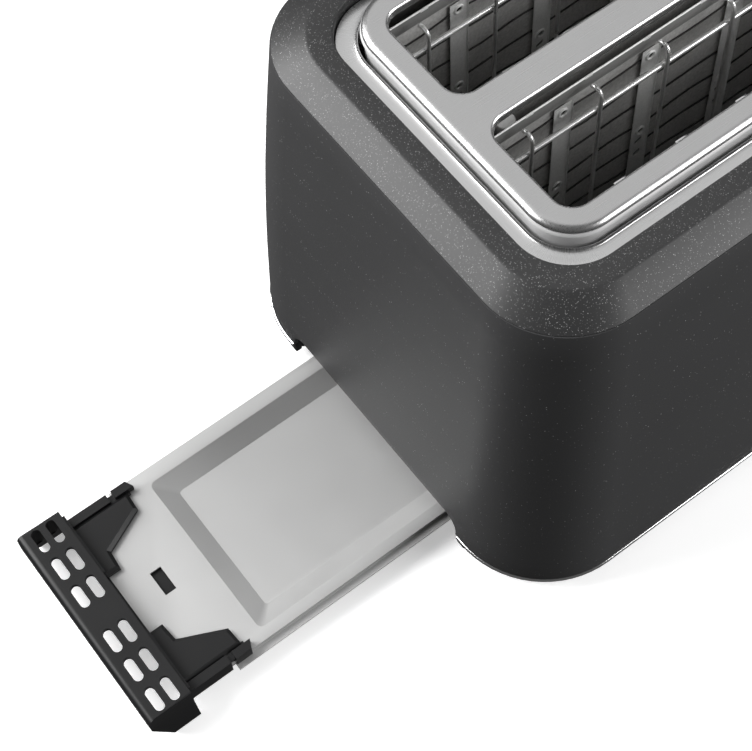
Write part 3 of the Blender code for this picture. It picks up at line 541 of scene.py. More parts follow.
anthraciteCoat = flakedFinish("anthraciteCoat", coatLook)
speckledCover = flakedFinish("speckledCover", coverLook)
satinSteel = steelFinish("satinSteel", (0.59, 0.59, 0.59), 0.3, (60.0, 4000.0, 4000.0))
collarSteel = steelFinish("collarSteel", (0.8, 0.8, 0.8), 0.48, (4000.0, 4000.0, 60.0), 0.04, 0.35)
trimSteel = steelFinish("trimSteel", (0.8, 0.8, 0.8), 0.14, (30.0, 30.0, 2500.0), 0.03)
wireSteel = grainedFinish("wireSteel", (0.82, 0.82, 0.81), 0.3, 0.85, 2600.0, 0.01, 0.02)
sheetSteel = grainedFinish("sheetSteel", (0.34, 0.34, 0.335), 0.42, 0.9, 900.0, 0.1, 0.1)
stripSteel = grainedFinish("stripSteel", (0.85, 0.85, 0.84), 0.45, 0.3, 1400.0, 0.15, 0.12)
channelSteel = grainedFinish("channelSteel", (0.6, 0.6, 0.59), 0.45, 0.3, 1400.0, 0.15, 0.1)
# painted shade: the channels along the top of the boards get a dark colour that stands in for the shade in
# the gap under the slot's lip
shadedChannelSteel = grainedFinish("shadedChannelSteel", (0.24, 0.24, 0.235), 0.5, 0.3, 1400.0, 0.15, 0.1)
trayAluminium = grainedFinish("trayAluminium", (0.5, 0.5, 0.497), 0.5, 0.55, 3000.0, 0.25, 0.03)
blackMoulding = grainedFinish("blackMoulding", (0.009, 0.009, 0.0094), 0.42, 0.0, 3800.0, 0.25, 0.05, 0.28)
softRubber = grainedFinish("softRubber", (0.02, 0.02, 0.02), 0.85, 0.0, 1500.0, 0.4, 0.1)
micaSheet = grainedFinish("micaSheet", (0.46, 0.455, 0.445), 0.6, 0.0, 900.0, 0.4, 0.3)
heaterAlloy = grainedFinish("heaterAlloy", (0.022, 0.021, 0.02), 0.6, 0.3, 1500.0, 0.2, 0.1)
copperWinding = steelFinish("copperWinding", (0.6, 0.26, 0.12), 0.35, (300.0, 300.0, 3000.0), 0.3)
greenBoard = grainedFinish("greenBoard", (0.03, 0.12, 0.05), 0.45, 0.0, 1200.0, 0.1, 0.08)
ivoryMoulding = grainedFinish("ivoryMoulding", (0.7, 0.68, 0.62), 0.4, 0.0, 1500.0, 0.1, 0.04)
print("finishes made")


bodyLow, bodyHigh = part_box("body_shell")
coverLow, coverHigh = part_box("top_cover")
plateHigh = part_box("top_plate")[1]
trimLow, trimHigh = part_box("base_trim")
front, back, halfWidth = bodyLow.x, bodyHigh.x, bodyHigh.y


def at(x, y, z):
    # a place measured from the foot of the tray end, in millimetres
    return Vector((front + x * mm, y * mm, z * mm))


bodyShape = {"footCorner": 37.5 * mm, "seamInset": coverLow.x - bodyLow.x, "seamCorner": 31 * mm,
             "belly": 1.2 * mm, "wall": 2 * mm, "levels": 12, "chamferRise": 6.9 * mm,
             "windowSides": (-12 * mm, 43 * mm), "windowLow": 31 * mm, "windowHigh": 142 * mm,
             "bushY": -38 * mm, "bushZ": 20.4 * mm, "bushHole": 5.4 * mm}
seamZ = coverHigh.z - bodyShape["chamferRise"]
mouthShape = {"half": 50 * mm, "top": 20 * mm, "corner": 7 * mm}


def wallInset(z):
    rise = (z - bodyLow.z) / (seamZ - bodyLow.z)
    return bodyShape["seamInset"] * rise - bodyShape["belly"] * math.sin(math.pi * rise)


def wallStation(z):
    rise = (z - bodyLow.z) / (seamZ - bodyLow.z)
    inset = wallInset(z)
    corner = bodyShape["footCorner"] + (bodyShape["seamCorner"] - bodyShape["footCorner"]) * rise
    return (front + inset, back - inset, halfWidth - inset, corner, z)


def mouthTool(grow=0.0):
    half, top = mouthShape["half"] + grow, mouthShape["top"] + grow
    tool = box("mouthTool", (front - 10 * mm, -half, -5 * mm), (front + 15 * mm, half, top))
    openEdit(tool)
    pick(tool, "edges", lambda edge: near(middle(edge).z, top) and near(abs(middle(edge).y), half))
    bpy.ops.mesh.bevel(offset=mouthShape["corner"], segments=8, affect="EDGES")
    closeEdit()
    return tool


def bodyShell():
    top = seamZ - 0.12 * mm
    levels = bodyShape["levels"]
    heights = [bodyLow.z + (top - bodyLow.z) * level / levels for level in range(levels + 1)]
    shell = loft("bodyShell", [wallStation(z) for z in heights], 16)
    openEdit(shell)
    pick(shell, "faces", lambda face: len(face.verts) > 4)
    bpy.ops.mesh.delete(type="ONLY_FACE")
    closeEdit()
    thicken(shell, bodyShape["wall"])
    right, left = bodyShape["windowSides"]
    window = box("windowTool", (back - 30 * mm, right, bodyShape["windowLow"]),
                 (back + 10 * mm, left, bodyShape["windowHigh"]))
    bushHole = rod("bushTool", (back, bodyShape["bushY"], bodyShape["bushZ"]), bodyShape["bushHole"],
                   30 * mm, "x", 32)
    combine(shell, [mouthTool(), window, bushHole], "DIFFERENCE")
    bevelSharp(shell, 0.3 * mm, 2, 40)
    smooth(shell, 30)
    return settle(shell, anthraciteCoat, "housing", "anthracite_coat", "body_shell")


coverShape = {"chamfer": 10.3 * mm, "band": 7.8 * mm, "bandCorner": 25.2 * mm, "innerCorner": 19.5 * mm,
              "sheet": 2 * mm, "drop": 8 * mm, "seamWall": 3.2 * mm}


def topCover():
    chamfer, band, sheet = coverShape["chamfer"], coverShape["band"], coverShape["sheet"]
    inner, bandCorner = coverShape["innerCorner"], coverShape["bandCorner"]
    high, inset = coverHigh.z, bodyShape["seamInset"]

    def station(inward, corner, z):
        whole = inset + inward
        return (front + whole, back - whole, halfWidth - whole, corner, z)

    cover = loft("topCover", [
        station(0, bodyShape["seamCorner"], seamZ),
        station(chamfer, bandCorner, high),
        station(chamfer + band, inner, high),
        station(chamfer + band, inner, high - coverShape["drop"]),
        station(chamfer + band - sheet, inner + sheet, high - coverShape["drop"]),
        station(chamfer + band - sheet, inner + sheet, high - sheet),
        station(chamfer, bandCorner, high - sheet),
        station(coverShape["seamWall"], bodyShape["seamCorner"] - sheet, seamZ),
    ], 16, ring=True)
    bevelSharp(cover, 0.7 * mm, 3, 20)
    smooth(cover, 50)
    return settle(cover, speckledCover, "housing", "speckled_cover", "top_cover")


topShape = {"cornerRate": 0.48, "ringDrop": 4.4 * mm, "plateInset": 7.3 * mm, "plateThick": 2 * mm,
            "edgeDrop": 1.9 * mm, "edgeWide": 2.5 * mm, "lip": 3.2 * mm, "lipThick": 0.9 * mm,
            "lipRound": 1.2 * mm}
slotShape = {"start": 45.8 * mm, "length": 150 * mm, "width": 39.7 * mm, "middle": 26.25 * mm,
             "corner": 7 * mm}


def topStation(inward, z):
    # measured in from the cover's inner edge
    whole = bodyShape["seamInset"] + coverShape["chamfer"] + coverShape["band"] + inward
    corner = coverShape["innerCorner"] - topShape["cornerRate"] * inward
    return (front + whole, back - whole, halfWidth - whole, corner, z)


# inwards from the cover and up from the ring's flat, in millimetres
ringProfile = [(0.4, -0.7), (0.4, 0), (3.4, 0), (3.7, 0.02), (5.3, 0.13), (5.7, 0.4), (5.92, 0.8),
               (6.08, 1.15), (6.22, 1.15), (6.27, -0.7)]


def steelRing():
    flat = coverHigh.z - topShape["ringDrop"]
    ring = loft("steelRing", [topStation(inward * mm, flat + rise * mm) for inward, rise in ringProfile],
                16, ring=True)
    smooth(ring, 60)
    return settle(ring, ringSteel, "housing", "satin_steel", "steel_rim")


# inwards from the cover and down from the collar's top, undercut so that the groove stays dark
collarProfile = [(7.9, -1.2), (6.95, -1.1), (7.05, -0.5), (7.35, 0), (8.2, 0)]


def steelCollar():
    low, high = coverHigh.z - 9 * mm, plateHigh.z - topShape["plateThick"] - 0.45 * mm
    stations = [topStation(inward * mm, high + drop * mm) for inward, drop in collarProfile]
    first, last = collarProfile[0][0], collarProfile[-1][0]
    collar = loft("steelCollar", [topStation(first * mm, low)] + stations + [topStation(last * mm, low)],
                  16, ring=True)
    smooth(collar, 50)
    return settle(collar, collarSteel, "housing", "satin_steel", "steel_collar")


def slotTool(name, side, grow, low, high, steps=12):
    reach = slotShape["width"] / 2 + grow
    y0, y1 = sorted(side * (slotShape["middle"] + edge * reach) for edge in (-1, 1))
    start = front + slotShape["start"] - grow
    end = front + slotShape["start"] + slotShape["length"] + grow
    return raised(name, start, end, y0, y1, slotShape["corner"] + grow, low, high, steps)


def topPlate():
    high, edge = plateHigh.z, topShape["plateInset"]
    bottom = high - topShape["plateThick"]
    stations = [topStation(edge + 0.9 * mm, bottom), topStation(edge + 0.25 * mm, bottom)]
    for degrees in (0, 18, 36, 54, 72, 90):
        angle = math.radians(degrees)
        stations.append(topStation(edge + topShape["edgeWide"] * (1 - math.cos(angle)),
                                   high - topShape["edgeDrop"] * (1 - math.sin(angle))))
    plate = loft("topPlate", stations, 16)
    lips = [slotTool("lipTool", side, topShape["lipThick"], high - topShape["lip"], bottom + 0.6 * mm)
            for side in (1, -1)]
    combine(plate, lips, "UNION")
    slots = [slotTool("slotTool", side, 0, high - 30 * mm, high + 10 * mm) for side in (1, -1)]
    combine(plate, slots, "DIFFERENCE")
    openEdit(plate)

    def onSlotRim(edge):
        flat = all(near(vert.co.z, high) for vert in edge.verts)
        inside = abs(middle(edge).y) < halfWidth - bodyShape["seamInset"] - 30 * mm
        return flat and inside and edge.is_manifold and edge.calc_face_angle() > 0.5

    pick(plate, "edges", onSlotRim)
    bpy.ops.mesh.bevel(offset=topShape["lipRound"], segments=5, affect="EDGES")
    closeEdit()
    evenShade(plate, 40)
    return settle(plate, satinSteel, "housing", "satin_steel", "top_plate")


def radialSteel():
    # satin steel whose hairlines fan out round each corner of the ring
    made = Finish("ringSteel", (0.62, 0.62, 0.62), 0.3, 1.0)
    tree = made.tree
    parts = addNode(tree, "ShaderNodeSeparateXYZ")
    tree.links.new(made.place, parts.inputs[0])
    middleX = (front + back) / 2
    inset = bodyShape["seamInset"] + coverShape["chamfer"] + coverShape["band"] + coverShape["innerCorner"]
    reachX, reachY = (back - front) / 2 - inset, halfWidth - inset
    overX = math2(tree, "MAXIMUM", math2(tree, "SUBTRACT", math2(
        tree, "ABSOLUTE", math2(tree, "SUBTRACT", parts.outputs["X"], middleX), 0.0), reachX), 0.0)
    overY = math2(tree, "MAXIMUM", math2(tree, "SUBTRACT", math2(tree, "ABSOLUTE", parts.outputs["Y"], 0.0),
                                         reachY), 0.0)
    turn = math2(tree, "ARCTAN2", overY, overX)
    joined = addNode(tree, "ShaderNodeCombineXYZ")
    tree.links.new(math2(tree, "MULTIPLY", turn, 150.0), joined.inputs[0])
    tree.links.new(math2(tree, "MULTIPLY", overX, 60.0), joined.inputs[1])
    noise = addNode(tree, "ShaderNodeTexNoise")
    noise.inputs["Scale"].default_value = 1.0
    noise.inputs["Detail"].default_value = 3.0
    tree.links.new(joined.outputs[0], noise.inputs["Vector"])
    lines = noise.outputs["Fac"]
    made.feed("Base Color", made.mix(lines, (0.6, 0.6, 0.6, 1), (0.85, 0.85, 0.85, 1)))
    made.feed("Roughness", mapRange(tree, lines, 0.3, 0.7, 0.22, 0.38))
    made.bump(lines, 0.12, 0.02 * mm)
    return made.material


ringSteel = radialSteel()


trimShape = {"width": 2.2 * mm, "overlap": 0.3 * mm, "edge": 0.5 * mm, "mouthGap": 1 * mm}


def trimBand():
    low, high = trimLow.z, trimHigh.z
    proud, width = front - trimLow.x, trimShape["width"]
    edge, overlap = trimShape["edge"], trimShape["overlap"]

    def station(outward, z):
        return (front - outward, back + outward, halfWidth + outward, bodyShape["footCorner"] + outward, z)

    trim = loft("trimBand", [station(-overlap, low), station(proud - 0.35 * mm, low + 0.12 * mm),
                             station(proud, low + edge), station(proud, high - edge),
                             station(proud - 0.3 * mm, high - 0.1 * mm), station(-overlap, high),
                             station(-width, high), station(-width, low)], 16, ring=True)
    combine(trim, [mouthTool(trimShape["mouthGap"])], "DIFFERENCE")
    smooth(trim, 50)
    return settle(trim, trimSteel, "housing", "polished_steel", "base_trim")


bodyShell()
topCover()
steelRing()
steelCollar()
topPlate()
trimBand()
basePan = fromFrame("base_plate", "basePan", 0.4 * mm, 2, 25)
settle(basePan, blackMoulding, "housing", "black_plastic", "base_plate")
cheekShape = {"low": (0.6, 50.2, 4.2), "high": (3.4, 54.5, 13)}  # the stops beside the tray's mouth
cheek = box("mouthCheek", at(*cheekShape["low"]), at(*cheekShape["high"]), 0.5 * mm)
cheeks = together("mouthCheeks", [cheek, copyPiece(cheek, "mouthCheek", mirrorY=True)])
settle(smooth(cheeks), blackMoulding, "housing", "black_plastic")
print("casing made")


trayLow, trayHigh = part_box("crumb_tray")
trayShape = {"lipStart": -110.7, "sheet": 0.6 * mm, "corner": 1.5 * mm, "flange": 3 * mm,
             "runner": 2.8 * mm, "runnerStart": -91, "panStart": 32 * mm, "panSide": 4.5 * mm,
             "panBack": 8 * mm, "slope": 7.6 * mm, "panDepth": 4 * mm,
             "latchHole": ((-96.5, -4.5, 0), (-91.9, 6, 20))}


def crumbTray():
    sheet, corner, slope = trayShape["sheet"], trayShape["corner"], trayShape["slope"]
    x0, x1, half, high = at(trayShape["lipStart"], 0, 0).x, trayHigh.x, trayHigh.y, trayHigh.z
    panX0, panX1 = trayLow.x + trayShape["panStart"], x1 - trayShape["panBack"]
    panHalf = half - trayShape["panSide"]
    low, under = high - trayShape["panDepth"], high - sheet
    tray = loft("crumbTray", [
        (panX0 + slope, panX1 - slope, panHalf - slope, corner, low),
        (panX0, panX1, panHalf, corner * 1.6, high),
        (x0, x1, half, corner, high),
        (x0, x1, half, corner, high - trayShape["flange"]),
        (x0 + sheet, x1 - sheet, half - sheet, corner, high - trayShape["flange"]),
        (x0 + sheet, x1 - sheet, half - sheet, corner, under),
        (panX0, panX1, panHalf, corner * 1.6, under),
        (panX0 + slope, panX1 - slope, panHalf - slope, corner, low - sheet),
    ], 4)
    low = high - trayShape["flange"]
    runners = []
    for side in (1, -1):
        inner, outer = sorted((side * (half - sheet * 0.6), side * (half + trayShape["runner"])))
        runners.append(box("runner", (at(trayShape["runnerStart"], 0, 0).x, inner, low),
                           (x1 - 1 * mm, outer, low + sheet)))
    combine(tray, runners, "UNION")
    hole = box("latchTool", *(at(*corner) for corner in trayShape["latchHole"]))
    combine(tray, [hole], "DIFFERENCE")
    bevelSharp(tray, 0.28 * mm, 2, 60)
    bevelSharp(tray, 1.1 * mm, 4, 18)
    smooth(tray, 40)
    return settle(tray, trayAluminium, "tray", "tray_aluminium", "crumb_tray")


handleShape = {"start": -128.5, "end": -110.5, "half": 43.5, "top": 18.6, "wall": 1.8, "lip": 9.8,
               "bottom": 0.8, "flapSpread": 2.2, "flapCut": 6.8, "frontRound": 2.4, "endRound": 0.8,
               "rows": (-121.8, -115.5), "firstVent": 10.5, "ventPitch": 13.4, "ventsBeside": 3,
               "ventLength": 10, "ventWidth": 3.7,
               "latch": ((-112, -6, 7.4), (-90.5, 7.5, 8.6)), "web": ((-112, -15, 9), (-109, 15, 10.3))}


def ventTools():
    shape = handleShape
    across, along = shape["ventWidth"] / 2 * mm, shape["ventLength"] / 2 * mm
    low, high = 8 * mm, 24 * mm
    centre = at(shape["rows"][0], shape["firstVent"], 0)
    first = raised("ventTool", centre.x - across, centre.x + across, centre.y - along, centre.y + along,
                   across * 0.999, low, high, 8)
    tools = [first]
    for row in shape["rows"]:
        for place in range(shape["ventsBeside"]):
            for side in (1, -1):
                y = side * (shape["firstVent"] + place * shape["ventPitch"])
                shift = at(row, y, 0) - at(shape["rows"][0], shape["firstVent"], 0)
                if shift.length > 0.1 * mm:
                    tools.append(copyPiece(first, "ventTool", shift))
    return together("ventTools", tools)


def gripHood():
    shape = handleShape
    grip = box("trayHandle", at(shape["start"], -shape["half"], shape["lip"]),
               at(shape["end"], shape["half"], shape["top"]))
    openEdit(grip)
    backX, frontX = at(shape["end"], 0, 0).x, at(shape["start"], 0, 0).x
    lowZ = shape["lip"] * mm
    pick(grip, "faces", lambda face: near(middle(face).z, lowZ) or near(middle(face).x, backX))
    bpy.ops.mesh.delete(type="FACE")
    # the two ends go on down as flaps, spread outwards, with the front corner cut back
    for side in (1, -1):
        edgeY = side * shape["half"] * mm
        pick(grip, "edges", lambda edge: near(middle(edge).z, lowZ) and near(middle(edge).y, edgeY))
        bpy.ops.mesh.extrude_edges_move(TRANSFORM_OT_translate={
            "value": (0, side * shape["flapSpread"] * mm, (shape["bottom"] - shape["lip"]) * mm)})
    pick(grip, "verts", lambda vert: near(vert.co.z, shape["bottom"] * mm) and near(vert.co.x, frontX))
    bpy.ops.transform.translate(value=(shape["flapCut"] * mm, 0, 0))
    pick(grip, "edges", lambda edge: near(middle(edge).x, frontX) and near(middle(edge).z, shape["top"] * mm))
    bpy.ops.mesh.bevel(offset=shape["frontRound"] * mm, segments=6, affect="EDGES")
    pick(grip, "edges", lambda edge: near(middle(edge).z, shape["top"] * mm) and near(
        abs(middle(edge).y), shape["half"] * mm))
    bpy.ops.mesh.bevel(offset=shape["endRound"] * mm, segments=3, affect="EDGES")
    closeEdit()
    thicken(grip, shape["wall"] * mm)
    combine(grip, [ventTools()], "DIFFERENCE", "MANIFOLD")
    return bevelSharp(grip, 0.3 * mm, 2, 40)


armShape = {"outline": [(-111.5, 13.6), (-103.9, 13.6), (-103.2, 21.2), (-86.1, 29.3), (-85.6, 37),
                        (-111.5, 37)],
            "low": 10.35, "thick": 1.5, "stepIn": 1.3, "stepUp": 1.1,
            "riser": ((-113, 13.6, 10.6), (-109.6, 41, 17.6)),
            "rail": ((-112, 37.4, 5.6), (-92.6, 41, 12.9)),
            "link": ((-111, 36.2, 10.4), (-84.6, 40.1, 11.6)),
            "hook": ((-90.4, 37.6, 6.4), (-82.4, 41, 13.2)),
            "hookSlant": 1.6}


def gripArm():
    # the bracket over one corner of the tray, with its stepped edge
    shape = armShape
    deselectAll()
    bpy.ops.mesh.primitive_circle_add(vertices=len(shape["outline"]), radius=10 * mm, fill_type="NGON")
    arm = nameNew("gripArm")
    openEdit(arm)
    mesh = bmesh.from_edit_mesh(arm.data)
    mesh.verts.ensure_lookup_table()
    for vert, (x, y) in zip(mesh.verts, shape["outline"]):
        vert.co = at(x, y, shape["low"])
    bmesh.update_edit_mesh(arm.data)
    bpy.ops.mesh.select_all(action="SELECT")
    bpy.ops.mesh.extrude_region_move(TRANSFORM_OT_translate={"value": (0, 0, shape["thick"] * mm)})
    bpy.ops.mesh.inset(thickness=shape["stepIn"] * mm, depth=shape["stepUp"] * mm)
    bpy.ops.mesh.select_all(action="SELECT")
    bpy.ops.mesh.normals_make_consistent(inside=False)
    closeEdit()
    riser, rail, link, hook = (box(camel("grip", part), *(at(*corner) for corner in shape[part]))
                               for part in ("riser", "rail", "link", "hook"))
    openEdit(hook)
    pick(hook, "verts", lambda vert: vert.co.y > 39 * mm and vert.co.x > at(-84, 0, 0).x)
    bpy.ops.transform.translate(value=(-shape["hookSlant"] * mm, 0, 0))
    closeEdit()
    combine(arm, [riser, rail, link, hook], "UNION")
    bevelSharp(arm, 0.35 * mm, 2, 25)
    return arm


def trayHandle():
    grip = gripHood()
    leftArm = gripArm()
    rightArm = copyPiece(leftArm, "gripArmRight", mirrorY=True)
    latch = box("gripLatch", *(at(*corner) for corner in handleShape["latch"]), 0.3 * mm)
    web = box("gripWeb", *(at(*corner) for corner in handleShape["web"]), 0.2 * mm)
    grip = together("trayHandle", [grip, leftArm, rightArm, latch, web])
    evenShade(grip, 35)
    return settle(grip, blackMoulding, "tray", "black_plastic", "tray_handle")


crumbTray()
trayHandle()
print("tray made")


boardLow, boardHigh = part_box("right_inner_mica_board")
boardShape = {"thick": 0.8 * mm, "faceY": -3.2, "otherFaceY": 50.2, "gap": 53.4 * mm,
              "clips": tuple(range(64, 196, 24)), "strips": (79.5, 116, 152.5), "stripWidth": 7,
              "stripLow": 32, "stripHigh": 155, "eyelets": (151.5, 110.3), "slits": (103.6, 96.8),
              "slitTall": 2.0, "runs": 10, "firstRun": 150.5, "runPitch": 12.2, "sag": 1.7,
              "runStart": 45.5, "runEnd": 197.5, "runSteps": 24}


def stripPiece(name, x, faceY):
    # a metal strip with one edge folded out, an eyelet on top and slots lower down
    half = boardShape["stripWidth"] / 2
    low, high = boardShape["stripLow"], boardShape["stripHigh"]
    strip = box(name, at(x - half, faceY - 1.25, low), at(x + half, faceY - 0.85, high))
    openEdit(strip)
    edgeX = at(x + half, 0, 0).x
    pick(strip, "faces", lambda face: near(middle(face).x, edgeX))
    bpy.ops.mesh.extrude_region_move(TRANSFORM_OT_translate={"value": (0.35 * mm, -0.55 * mm, 0)})
    closeEdit()
    tools = []
    tall = boardShape["slitTall"]
    for z in boardShape["slits"]:
        tool = box("slitTool", at(x - 1.5, faceY - 3, z - tall / 2), at(x + 1.5, faceY + 0.02, z + tall / 2))
        openEdit(tool)
        pick(tool, "verts", lambda vert: vert.co.x > at(x, 0, 0).x)
        bpy.ops.transform.translate(value=(0, 0, 1.3 * mm))
        closeEdit()
        tools.append(tool)
    for z in boardShape["eyelets"]:
        tools.append(rod("eyeletTool", at(x, faceY - 1.05, z), 1.3 * mm, 1.6 * mm, "y", 16))
    combine(strip, tools, "DIFFERENCE")
    rings = []
    for z in boardShape["eyelets"]:
        deselectAll()
        bpy.ops.mesh.primitive_torus_add(location=at(x, faceY - 1.3, z), rotation=turns["y"],
                                         major_radius=1.6 * mm, minor_radius=0.48 * mm,
                                         major_segments=20, minor_segments=8)
        rings.append(nameNew("eyelet"))
    bevelSharp(strip, 0.08 * mm, 1, 40)
    return together(name, [strip] + rings)


def boardPieces():
    # modelled on the board at the right of the middle; the others are copies
    faceY = boardShape["faceY"]
    board = box("rightInnerBoard", Vector((boardLow.x, faceY * mm, boardLow.z)),
                Vector((boardHigh.x, faceY * mm + boardShape["thick"], boardHigh.z)))
    channel = box("rightInnerChannel", at(43.6, faceY - 1.1, 156.6), at(199.4, faceY - 0.6, 162.1), 0.12 * mm)
    bead = rod("channelBead", at(121.5, faceY - 0.95, 162.15), 0.34 * mm, 155.6 * mm, "x", 10)
    clips = [box("channelClip", at(x, faceY - 1.2, 161.3), at(x + 3.2, faceY - 0.7, 162.5), 0.12 * mm)
             for x in boardShape["clips"]]
    beads = together("rightInnerBead", [bead] + clips)
    strips = together("rightInnerStrips", [stripPiece(f"strip{number}", x, faceY)
                                           for number, x in enumerate(boardShape["strips"])])
    openEdit(board)
    bpy.ops.mesh.select_all(action="SELECT")
    bpy.ops.mesh.bevel(offset=0.15 * mm, segments=2, affect="EDGES")
    closeEdit()
    return board, channel, strips, beads


def heaterRuns(name, faceY, seed):
    # the wire is wound round the board: each run sags a little between the strips
    shape = boardShape
    start, end, steps = shape["runStart"], shape["runEnd"], shape["runSteps"]
    runs = []
    for run in range(shape["runs"]):
        z = shape["firstRun"] - run * shape["runPitch"]
        uneven = 0.4 + 0.6 * math.sin(run * 1.7 + seed) ** 2
        points = []
        for step in range(steps + 1):
            x = start + step * (end - start) / steps
            wave = math.sin((x - 43) / 36.5 * math.pi + run * 0.4) ** 2
            tilt = math.sin(run * 2.1 + seed) * 0.9 * (x - 120) / 75
            points.append(at(x, faceY - 0.45, z - shape["sag"] * wave * uneven + tilt))
        runs.append(wire(f"{name}{run}", points, 0.32 * mm, 6))
    return together(name, runs)


cageShape = {"firstWire": 60.6, "pitch": 27.7, "count": 5, "pivotZ": 24, "rodZ": 153, "wireRadius": 0.75,
             "rodRadius": 1.0, "pivotLong": 162 * mm, "railLong": 154 * mm, "hookTop": 160,
             "hookRadius": 2.45, "rows": {"right_inner": (-12, 1), "right_outer": (-40.5, -1),
                                          "left_inner": (12, -1), "left_outer": (40.5, 1)}}


def guardCage(name, y, toBoard):
    # upright wires hooked back at the top, on a pivot rod, with one long rod behind them
    shape = cageShape
    path = [at(shape["firstWire"], y, shape["pivotZ"])]
    path.append(at(shape["firstWire"], y, shape["hookTop"] - 0.3))
    for degrees in range(0, 171, 19):
        angle = math.radians(degrees)
        path.append(at(shape["firstWire"], y + toBoard * shape["hookRadius"] * (1 - math.cos(angle)),
                       shape["hookTop"] + shape["hookRadius"] * math.sin(angle)))
    first = wire("cageWire", path, shape["wireRadius"] * mm, 12)
    bevelSharp(first, 0.2 * mm, 2, 50)
    parts = [first]
    for number in range(1, shape["count"]):
        parts.append(copyPiece(first, "cageWire", (number * shape["pitch"] * mm, 0, 0)))
    thick = shape["rodRadius"] * mm
    pivot = rod("cagePivot", at(121.5, y, shape["pivotZ"]), thick, shape["pivotLong"], "x", 16, 0.2 * mm)
    rail = rod("cageRail", at(120.7, y + toBoard * 1.5, shape["rodZ"]), thick, shape["railLong"], "x", 20,
               0.2 * mm)
    cage = together(name, parts + [pivot, rail])
    return smooth(cage, 50)


boards, channels, strips, beads = {}, {}, {}, {}
boards["right_inner"], channels["right_inner"], strips["right_inner"], beads["right_inner"] = boardPieces()
boardGap = boardShape["gap"]  # from the inner board to the outer one
for key, shift, mirror in (("left_inner", 0, True), ("right_outer", -boardGap, True),
                           ("left_outer", boardGap, False)):
    for family, word in ((boards, "board"), (channels, "channel"), (strips, "strips"), (beads, "bead")):
        family[key] = copyPiece(family["right_inner"], camel(key, word), (0, shift, 0), mirror)
wires = {
    "right_inner": heaterRuns("rightInnerWinding", boardShape["faceY"], 0.0),
    "left_outer": heaterRuns("leftOuterWinding", boardShape["otherFaceY"], 1.3),
}
wires["left_inner"] = copyPiece(wires["right_inner"], "leftInnerWinding", mirrorY=True)
wires["right_outer"] = copyPiece(wires["left_outer"], "rightOuterWinding", mirrorY=True)
for key in boards:
    settle(boards[key], micaSheet, "housing", "mica", f"{key}_mica_board")
    # the channel's dark colour is painted shade from the slot's lip above it
    settle(smooth(channels[key]), shadedChannelSteel, "housing", "zinc_steel")
    settle(smooth(beads[key]), stripSteel, "housing", "zinc_steel")
    settle(smooth(strips[key], 40), stripSteel, "housing", "zinc_steel")
    settle(smooth(wires[key], 60), heaterAlloy, "housing", "heater_alloy", f"{key}_heater_wire")
for key, (y, toBoard) in cageShape["rows"].items():
    cage = guardCage(camel(key, "cage"), y, toBoard)
    settle(cage, wireSteel, f"{key}_cage", "guard_steel", f"{key}_guard_cage")


detailShape = {"clips": (64.5, 88.5, 112.5, 136.5, 160.5), "clipZ": 171.4 * mm,
               "clipSize": (4.6 * mm, 2.7 * mm, 0.7 * mm), "boss": (60, 0.4, 155)}


def slotDetails():
    # clips that hold the near edge of each slot
    parts = []
    for side in (1, -1):
        nearY = side * slotShape["middle"] - slotShape["width"] / 2
        for x in detailShape["clips"]:
            low = Vector((at(x, 0, 0).x, nearY - 1 * mm, detailShape["clipZ"]))
            parts.append(box("slotClip", low, low + Vector(detailShape["clipSize"]), 0.15 * mm))
    return together("slotClips", parts)


def screwBosses():
    boss = rod("screwBoss", at(*detailShape["boss"]), 3.4 * mm, 8 * mm, "z", 28, 0.6 * mm)
    return together("screwBosses", [boss])


settle(smooth(slotDetails()), trimSteel, "housing", "zinc_steel")
settle(smooth(screwBosses()), channelSteel, "housing", "zinc_steel")
print("heating boards and cages made")


def easedNode(node, name, look, body, slotName, bevel=0.35 * mm, segments=2):
    return settle(fromFrame(node, name, bevel, segments), look, body, slotName, node)


easedNode("control_panel", "controlPanel", speckledCover, "housing", "speckled_cover", 0.8 * mm, 3)
easedNode("lever_knob", "leverKnob", blackMoulding, "carriage", "black_plastic", 0.8 * mm, 3)
easedNode("browning_knob", "browningKnob", blackMoulding, "dial", "black_plastic", 0.3 * mm)
for word in ("cancel", "reheat", "defrost"):
    easedNode(f"{word}_button", f"{word}Button", blackMoulding, word, "black_plastic", 0.4 * mm)
easedNode("cord_bush", "cordBush", blackMoulding, "housing", "black_plastic")
for number in range(1, 5):
    easedNode(f"foot_{number}", f"foot{number}", softRubber, "housing", "foot_rubber", 0.4 * mm)
    easedNode(f"base_screw_{number}", f"baseScrew{number}", sheetSteel, "housing", "zinc_steel", 0.15 * mm)
for node in ("front_end_plate", "rear_end_plate", "left_heat_shield", "right_heat_shield", "magnet_core"):
    easedNode(node, camel(node, "piece"), sheetSteel, "housing", "zinc_steel", 0.1 * mm)
for node in ("carriage_bracket", "left_bread_lifter", "right_bread_lifter", "lever_arm", "armature"):
    easedNode(node, camel(node, "piece"), sheetSteel, "carriage", "zinc_steel", 0.15 * mm)
kept = {"left_guide_rod": wireSteel, "right_guide_rod": wireSteel, "lift_spring": wireSteel,
        "magnet_coil": copperWinding, "circuit_board": greenBoard, "terminal_block": ivoryMoulding,
        "dial_control": blackMoulding, "main_switch": blackMoulding}
for node, look in kept.items():
    held = frame["nodes"][node]
    held.data.materials.clear()
    held.data.materials.append(look)
print("controls and inner pieces made")


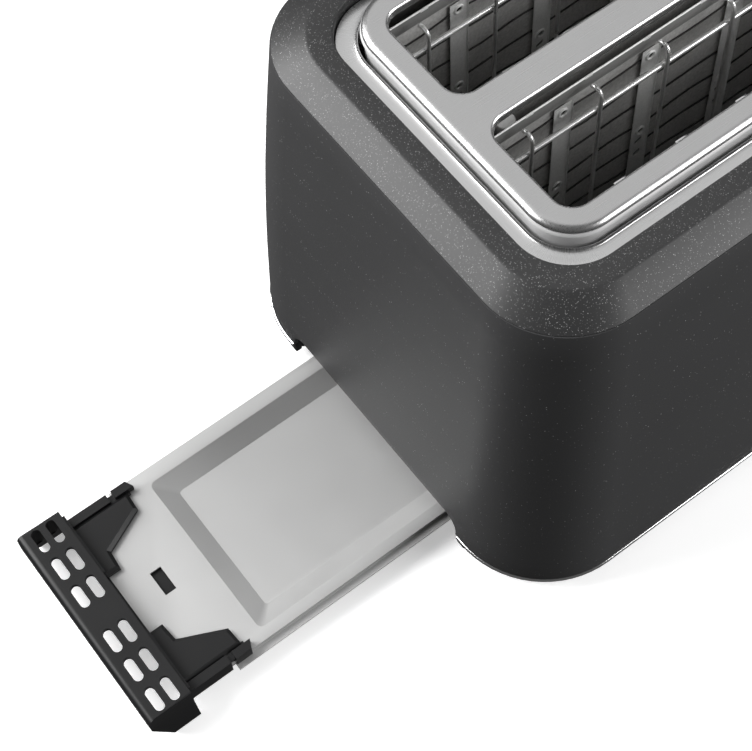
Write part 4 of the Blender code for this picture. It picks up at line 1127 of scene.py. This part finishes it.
studio = {
    "left": {"towards": (-0.62, 0.58, 0.53), "distance": 1.5, "size": 1.1, "power": 38},
    "right": {"towards": (0.6, -0.68, 0.42), "distance": 1.6, "size": 1.1, "power": 30},
    "overhead": {"towards": (0.25, 0.36, 0.9), "distance": 1.7, "size": 1.8, "power": 6.5},
}
target = Vector((0.04, 0, 0.09))
for name, lamp in studio.items():
    deselectAll()
    place = target + Vector(lamp["towards"]).normalized() * lamp["distance"]
    bpy.ops.object.light_add(type="AREA", location=place)
    light = bpy.context.object
    light.name = name + "Softbox"
    light.data.shape = "SQUARE"
    light.data.size = lamp["size"]
    light.data.energy = lamp["power"]
    light.rotation_euler = (target - place).to_track_quat("-Z", "Y").to_euler()

deselectAll()
bpy.ops.mesh.primitive_plane_add(size=8, location=(0, 0, 0))
floor = nameNew("studioFloor")
floor.data.materials.append(grainedFinish("paleFloor", (0.95, 0.95, 0.95), 0.8, 0.0, 300.0, 0.02, 0.01))
floorShader = floor.data.materials[0].node_tree.nodes["Principled BSDF"]
floorShader.inputs["Emission Color"].default_value = (1, 1, 1, 1)
floorShader.inputs["Emission Strength"].default_value = 0.4
floor.visible_diffuse = False  # a pale sweep that throws no light back up at the dark sides
floor.visible_glossy = False

world = bpy.data.worlds.new("studioAir")
bpy.context.scene.world = world
world.use_nodes = True
world.node_tree.nodes["Background"].inputs["Color"].default_value = (1, 1, 1, 1)
world.node_tree.nodes["Background"].inputs["Strength"].default_value = 0.1
bpy.context.scene.view_settings.view_transform = "Standard"

viewpoint = {"place": (-0.23985, -0.2588, 0.6304), "aim": (-0.0583, 0.0249, 0.0),
             "roll": -4.87, "lens": 88.31}
place, aim = Vector(viewpoint["place"]), Vector(viewpoint["aim"])
bpy.ops.object.camera_add(location=place)
camera = bpy.context.object
camera.data.lens = viewpoint["lens"]
camera.data.sensor_width = 36
camera.data.clip_start = 0.01
camera.rotation_mode = "QUATERNION"
camera.rotation_quaternion = (aim - place).to_track_quat("-Z", "Y") @ Quaternion(
    (0, 0, 1), math.radians(viewpoint["roll"]))
bpy.context.scene.camera = camera
print("studio made")

bpy.context.view_layer.update()
